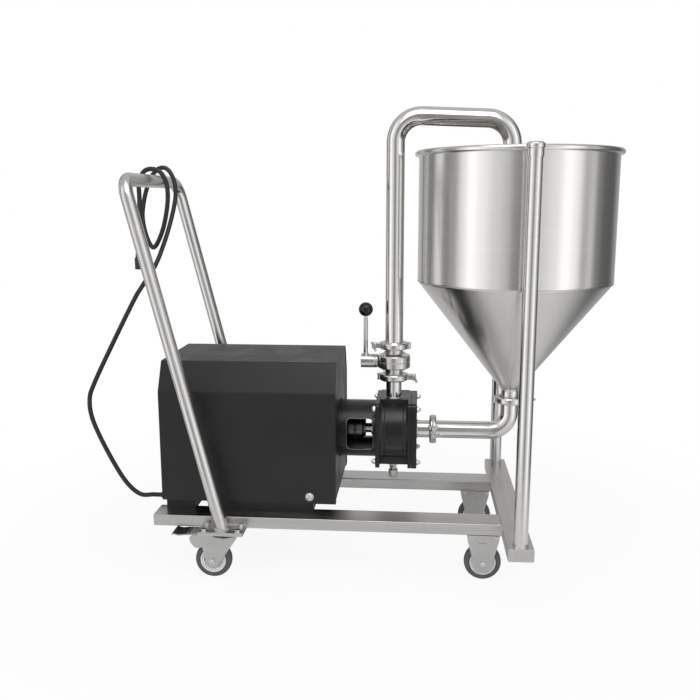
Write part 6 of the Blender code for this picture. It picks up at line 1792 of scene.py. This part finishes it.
@dataclass
class Caster:
    """A 102 mm caster: plate, fork, wheel and, where it swivels, a brake pedal.

    The tail's points and the pedal's are shares, of the wheel's radius and of the
    pedal's length. The hub's profile is one side of it, in (radius, height).
    """

    name: str
    kind: CasterKind
    x: float
    y: float
    wheel_radius: float = 0.051
    tyre_half: float = 0.015
    tread_drop: float = 0.0055
    tread_power: float = 3.2
    shoulder: float = 0.0075
    hub_radius: float = 0.036
    spokes: int = 6
    cheek: float = 0.018
    sheet: float = 0.003
    sheet_edge: float = 0.0008
    trail: float = 0.034
    crown_radius: float = 0.04
    crown_top: float = 0.1269
    crown_front: float = 0.036
    crown_back: float = 0.064
    axle_washer: float = 0.0098
    axle_nut: float = 0.0074
    axle_cap: float = 0.0062
    plate_length: float = 0.108
    plate_width: float = 0.08
    plate_corner: float = 0.01
    plate_thickness: float = 0.004
    plate_top: float = 0.1402
    race: float = 0.029
    race_depth: float = 0.013
    pedal_start: float = 0.038
    pedal_length: float = 0.074
    pedal_half: float = 0.027
    pedal_pin_x: float = 0.05
    pedal_gap: float = 0.0012
    pad_half: float = 0.0245
    pad_ribs: int = 7
    foot_radius: float = 0.026
    foot_half: float = 0.031
    skirt_half: float = 0.0435
    skirt: float = 0.018
    rigid_length: float = 0.088
    rib_width: float = 0.03
    rib_height: float = 0.072
    rib_drop: float = 0.012
    nut_x: float = 0.034
    nut_y: float = 0.031
    tail: tuple = ((1.22, 1.06), (0.98, 0.76), (0.78, 0.73), (0.55, 0.78))
    tread: tuple = ((0.0, 0.0), (0.45, 0.0), (0.75, -0.04), (0.94, 0.02), (1.0, -0.02))
    hub: tuple = ((0.0053, 0.013), (0.012, 0.013), (0.0125, 0.006), (0.0245, 0.006), (0.0262, 0.0118),
                  (0.03, 0.0124), (0.0305, 0.0106), (0.0313, 0.0106), (0.0318, 0.0136), (0.0358, 0.0136))

    def build(self) -> None:
        """Make the parts of this kind of caster."""
        if self.kind is CasterKind.SWIVEL:
            self.swivel_fork()
            self.swivel_plate()
            self.pedal()
        else:
            self.rigid_fork()
        self.wheel(self.name + "_wheel")

    @property
    def axle_x(self) -> float:
        """The axle's place: under the plate's middle, or behind it by the trail."""
        return self.x - (self.trail if self.kind is CasterKind.SWIVEL else 0)

    def cheeks(self, fork: Solid, outline: Array) -> None:
        """The fork's two cheeks from one outline of (x, z) about the axle's height."""
        for side in (-1, 1):
            out = self.y + side * (self.cheek + self.sheet / 2)
            spot = place_at((self.x, out, self.wheel_radius)).stood()
            fork.plate(spot, outline, -self.sheet / 2, self.sheet / 2, self.sheet_edge)

    def ribs(self, fork: Solid) -> None:
        """A shallow pressed rib up the outside of each cheek: a plate with wide soft edges."""
        outline = rectangle(self.rib_width, self.rib_height, self.rib_width * 0.3, 8)
        height = self.wheel_radius + self.rib_height / 2 - self.rib_drop
        for side in (-1, 1):
            spot = place_at((self.axle_x, self.y + side * (self.cheek + self.sheet), height)).stood()
            low, high = sorted((0.0006 * side, -0.0016 * side))
            fork.plate(spot, outline, low, high, 0.001)

    def axle(self, body: str) -> None:
        """Axle bolt with a cap nut in front and another behind."""
        bolt = Solid(self.name + "_axle_bolt")
        out = self.cheek + self.sheet
        for side in (-1, 1):
            spot = place_at((self.axle_x, self.y + side * out, self.wheel_radius), Y * side, X)
            bolt.rod(spot, self.axle_washer, -LAP, 0.0012, 0.0004, 36)
            bolt.nut(spot, self.axle_nut, 0.0012, 0.006, 0.0009)
            bolt.turn(spot, dome(self.axle_cap, 0.0046, 0.004, steps=7), steps=32)
        bolt.build(BOLT_STEEL, body)

    def swivel_fork(self) -> None:
        """Pressed fork: crown, two cheeks with a tail, and a bridge between them."""
        fork = Solid(self.name + "_fork_pressing")
        drop, t, r = self.crown_top - self.wheel_radius, self.trail, self.wheel_radius
        foot = circle(0.02, 16, 170, 170) + (-t, 0)
        tail = [(-t - a * r, b * r) for a, b in self.tail]
        rest = [(self.crown_front, drop - 0.006), (self.crown_front, drop), (-t - 0.048, drop),
                (-t - self.crown_back, drop - 0.006)] + tail
        self.cheeks(fork, np.concatenate([foot, rounded(rest, 0.005, 5)]))
        low, high, reach = self.crown_top - self.sheet, self.crown_top, self.crown_radius
        fork.turn(place_at((self.x, self.y, 0)), square(reach - 0.0015, reach, low, high), 0.001, 64)
        bridge = place_at((self.x - 0.025, self.y, 0))
        fork.block(bridge, 0.05, 2 * self.cheek + self.sheet, low, high - LAP, self.sheet_edge)
        fork.build(ZINC, self.name + "_body", [self.name + "_fork"])
        self.axle(self.name + "_body")

    def swivel_plate(self) -> None:
        """Top plate with the pressed race that the fork turns under."""
        plate = Solid(self.name + "_plate_pressing")
        spot, top = place_at((self.x, self.y, 0)), self.plate_top
        under, low, race = top - self.plate_thickness, top - self.race_depth, self.race
        plate.block(spot, self.plate_length, self.plate_width, under, top, self.sheet_edge, self.plate_corner)
        plate.turn(spot, [(0.024, low), (0.0262, low), (race, low + 0.0025), (race, low + 0.006),
                          (race + 0.0025, under), (0.02, top - 0.0035)], 0.0012, 72)
        plate.build(ZINC, CART, [self.name + "_plate"])

    def pedal(self) -> None:
        """Foot pedal: a bent tread with a black ribbed top and its pin in the fork."""
        start, low, thick = self.axle_x - self.pedal_start, self.crown_top + self.pedal_gap, self.sheet
        under = rounded(np.array(self.tread) * self.pedal_length, 0.008, 6) * (-1, 1)
        outline = np.concatenate([under, under[::-1] + (0, thick)])
        spot = place_at((start, self.y, low)).stood()
        tread = Solid(self.name + "_pedal_tread")
        tread.plate(spot, outline, -self.pedal_half, self.pedal_half, 0.0006)
        web_x, web_low = self.axle_x - self.pedal_pin_x, self.crown_top - 0.01
        tread.block(place_at((web_x, self.y, 0)), 0.012, 0.03, web_low, low + 0.001, self.sheet_edge)
        tread.rod(place_at((web_x, self.y, web_low), Y, X), 0.005, -0.0177, 0.0177, 0.0006, 28)
        body = self.name.replace("_swivel", "_brake_pedal")
        tread.build(ZINC, body, [self.name + "_brake_pedal"])
        pad = Solid(self.name + "_pedal_pad")
        inner = under[3:-1]
        cover = np.concatenate([inner + (0, thick - LAP), inner[::-1] + (0, thick + 0.0009)])
        pad.plate(spot, cover, -self.pad_half, self.pad_half, 0.0004)
        for k in range(self.pad_ribs):
            x = self.pedal_length * ((k + 4) / 11.5)
            z = np.interp(x, -under[:, 0], under[:, 1]) + thick
            pad.block(place_at((start - x, self.y, low + z)), 0.0022, 0.044, 0.0004, 0.0018, 0.0004)
        pad.build(PEDAL_PAD, body)

    def rigid_fork(self) -> None:
        """Pressed fork on its own plate, with a flange where it meets the plate."""
        fork = Solid(self.name + "_fork_pressing")
        drop, wide = self.plate_top - 0.002 - self.wheel_radius, self.skirt_half
        foot = circle(self.foot_radius, 18, 195, 150)
        rest = [(self.foot_half, 0.02), (wide, drop - self.skirt), (wide, drop), (-wide, drop),
                (-wide, drop - self.skirt), (-self.foot_half, 0.02)]
        self.cheeks(fork, np.concatenate([foot, rounded(rest, 0.006, 6)]))
        self.ribs(fork)
        under = self.plate_top - self.plate_thickness
        fork.block(place_at((self.x, self.y, 0)), self.rigid_length, self.plate_width, under, self.plate_top,
                   self.sheet_edge, self.plate_corner)
        fork.build(ZINC, CART, [self.name + "_fork"])
        self.axle(CART)
        nuts = Solid(self.name + "_plate_nuts")
        for x in (-self.nut_x, self.nut_x):
            for y in (-self.nut_y, self.nut_y):
                nuts.bolt(place_at((self.x + x, self.y + y, under), -Z), 0.0052, 0.005, 0.001)
        nuts.build(BOLT_STEEL)

    def wheel(self, body: str) -> None:
        """Hub with a stepped rim, bosses and spokes, and a crowned tyre round it."""
        place = place_at((self.axle_x, self.y, self.wheel_radius), Y, X)
        hub = Solid(self.name + "_hub_moulding")
        profile = list(self.hub) + [(reach, -height) for reach, height in self.hub[::-1]]
        hub.turn(place, profile, 0.0007, 96, ring=True)
        for k in range(self.spokes):
            spoke = place.turned(60 * k + 30).moved(x=0.0185)
            hub.block(spoke, 0.014, 0.0026, -0.0095, 0.0095, 0.0007)
        hub.build(HUB_NYLON, body, [self.name + "_wheel_hub"])
        tyre = Solid(self.name + "_tyre_ring")
        w, r = self.tyre_half, self.wheel_radius
        a = np.linspace(1, -1, 15)
        tread = np.stack([r - self.tread_drop * np.abs(a) ** self.tread_power, w * a], 1)
        tread[[0, -1], 1] *= 0.985
        bead = self.hub_radius + LAP
        wall = [(bead, w - 0.0018), (bead + 0.002, w), (r - self.shoulder, w)]
        profile = np.concatenate([wall, tread, [(reach, -height) for reach, height in wall[::-1]]])
        tyre.turn(place, profile, 0.0006, 120, ring=True)
        tyre.build(TYRE_RUBBER, body, [self.name + "_tyre"], crease=50)


def main() -> None:
    """Build every sub-assembly in order."""
    logging.basicConfig(level=logging.INFO, format="%(message)s")
    for assembly in (Studio(), Cord(), CartFrame(), Hopper()):
        assembly.build()
    pipes = Pipework()
    pipes.build()
    for clamp in (SanitaryClamp("neck_clamp", (HOPPER_X, 0, pipes.neck_height), Z, X, -1, 35.0),
                  SanitaryClamp("inlet_clamp", (pipes.inlet_x, 0, AXIS_HEIGHT), X, -Y, -1, 78.0),
                  SanitaryClamp("lower_clamp", (PUMP_X, 0, pipes.lower_height), Z, X, -1, 130.0),
                  SanitaryClamp("upper_clamp", (PUMP_X, 0, pipes.upper_height), Z, -X, 1, 115.0)):
        clamp.build()
    for assembly in (Pump(), Valve(), MotorCover(), PushHandle()):
        assembly.build()
    for name, side in SIDES:
        Caster(name + "_swivel", CasterKind.SWIVEL, SWIVEL_X, side * SWIVEL_SIDE).build()
        Caster(name + "_rigid", CasterKind.RIGID, RIGID_X, side * RIGID_SIDE).build()
    dress_nodes(FITTING_STEEL, "stator", "rotor", "mechanical_seal", "valve_disc")
    dress_nodes(TURNED_STEEL, "motor_shaft")


if __name__ == "__main__":
    main()
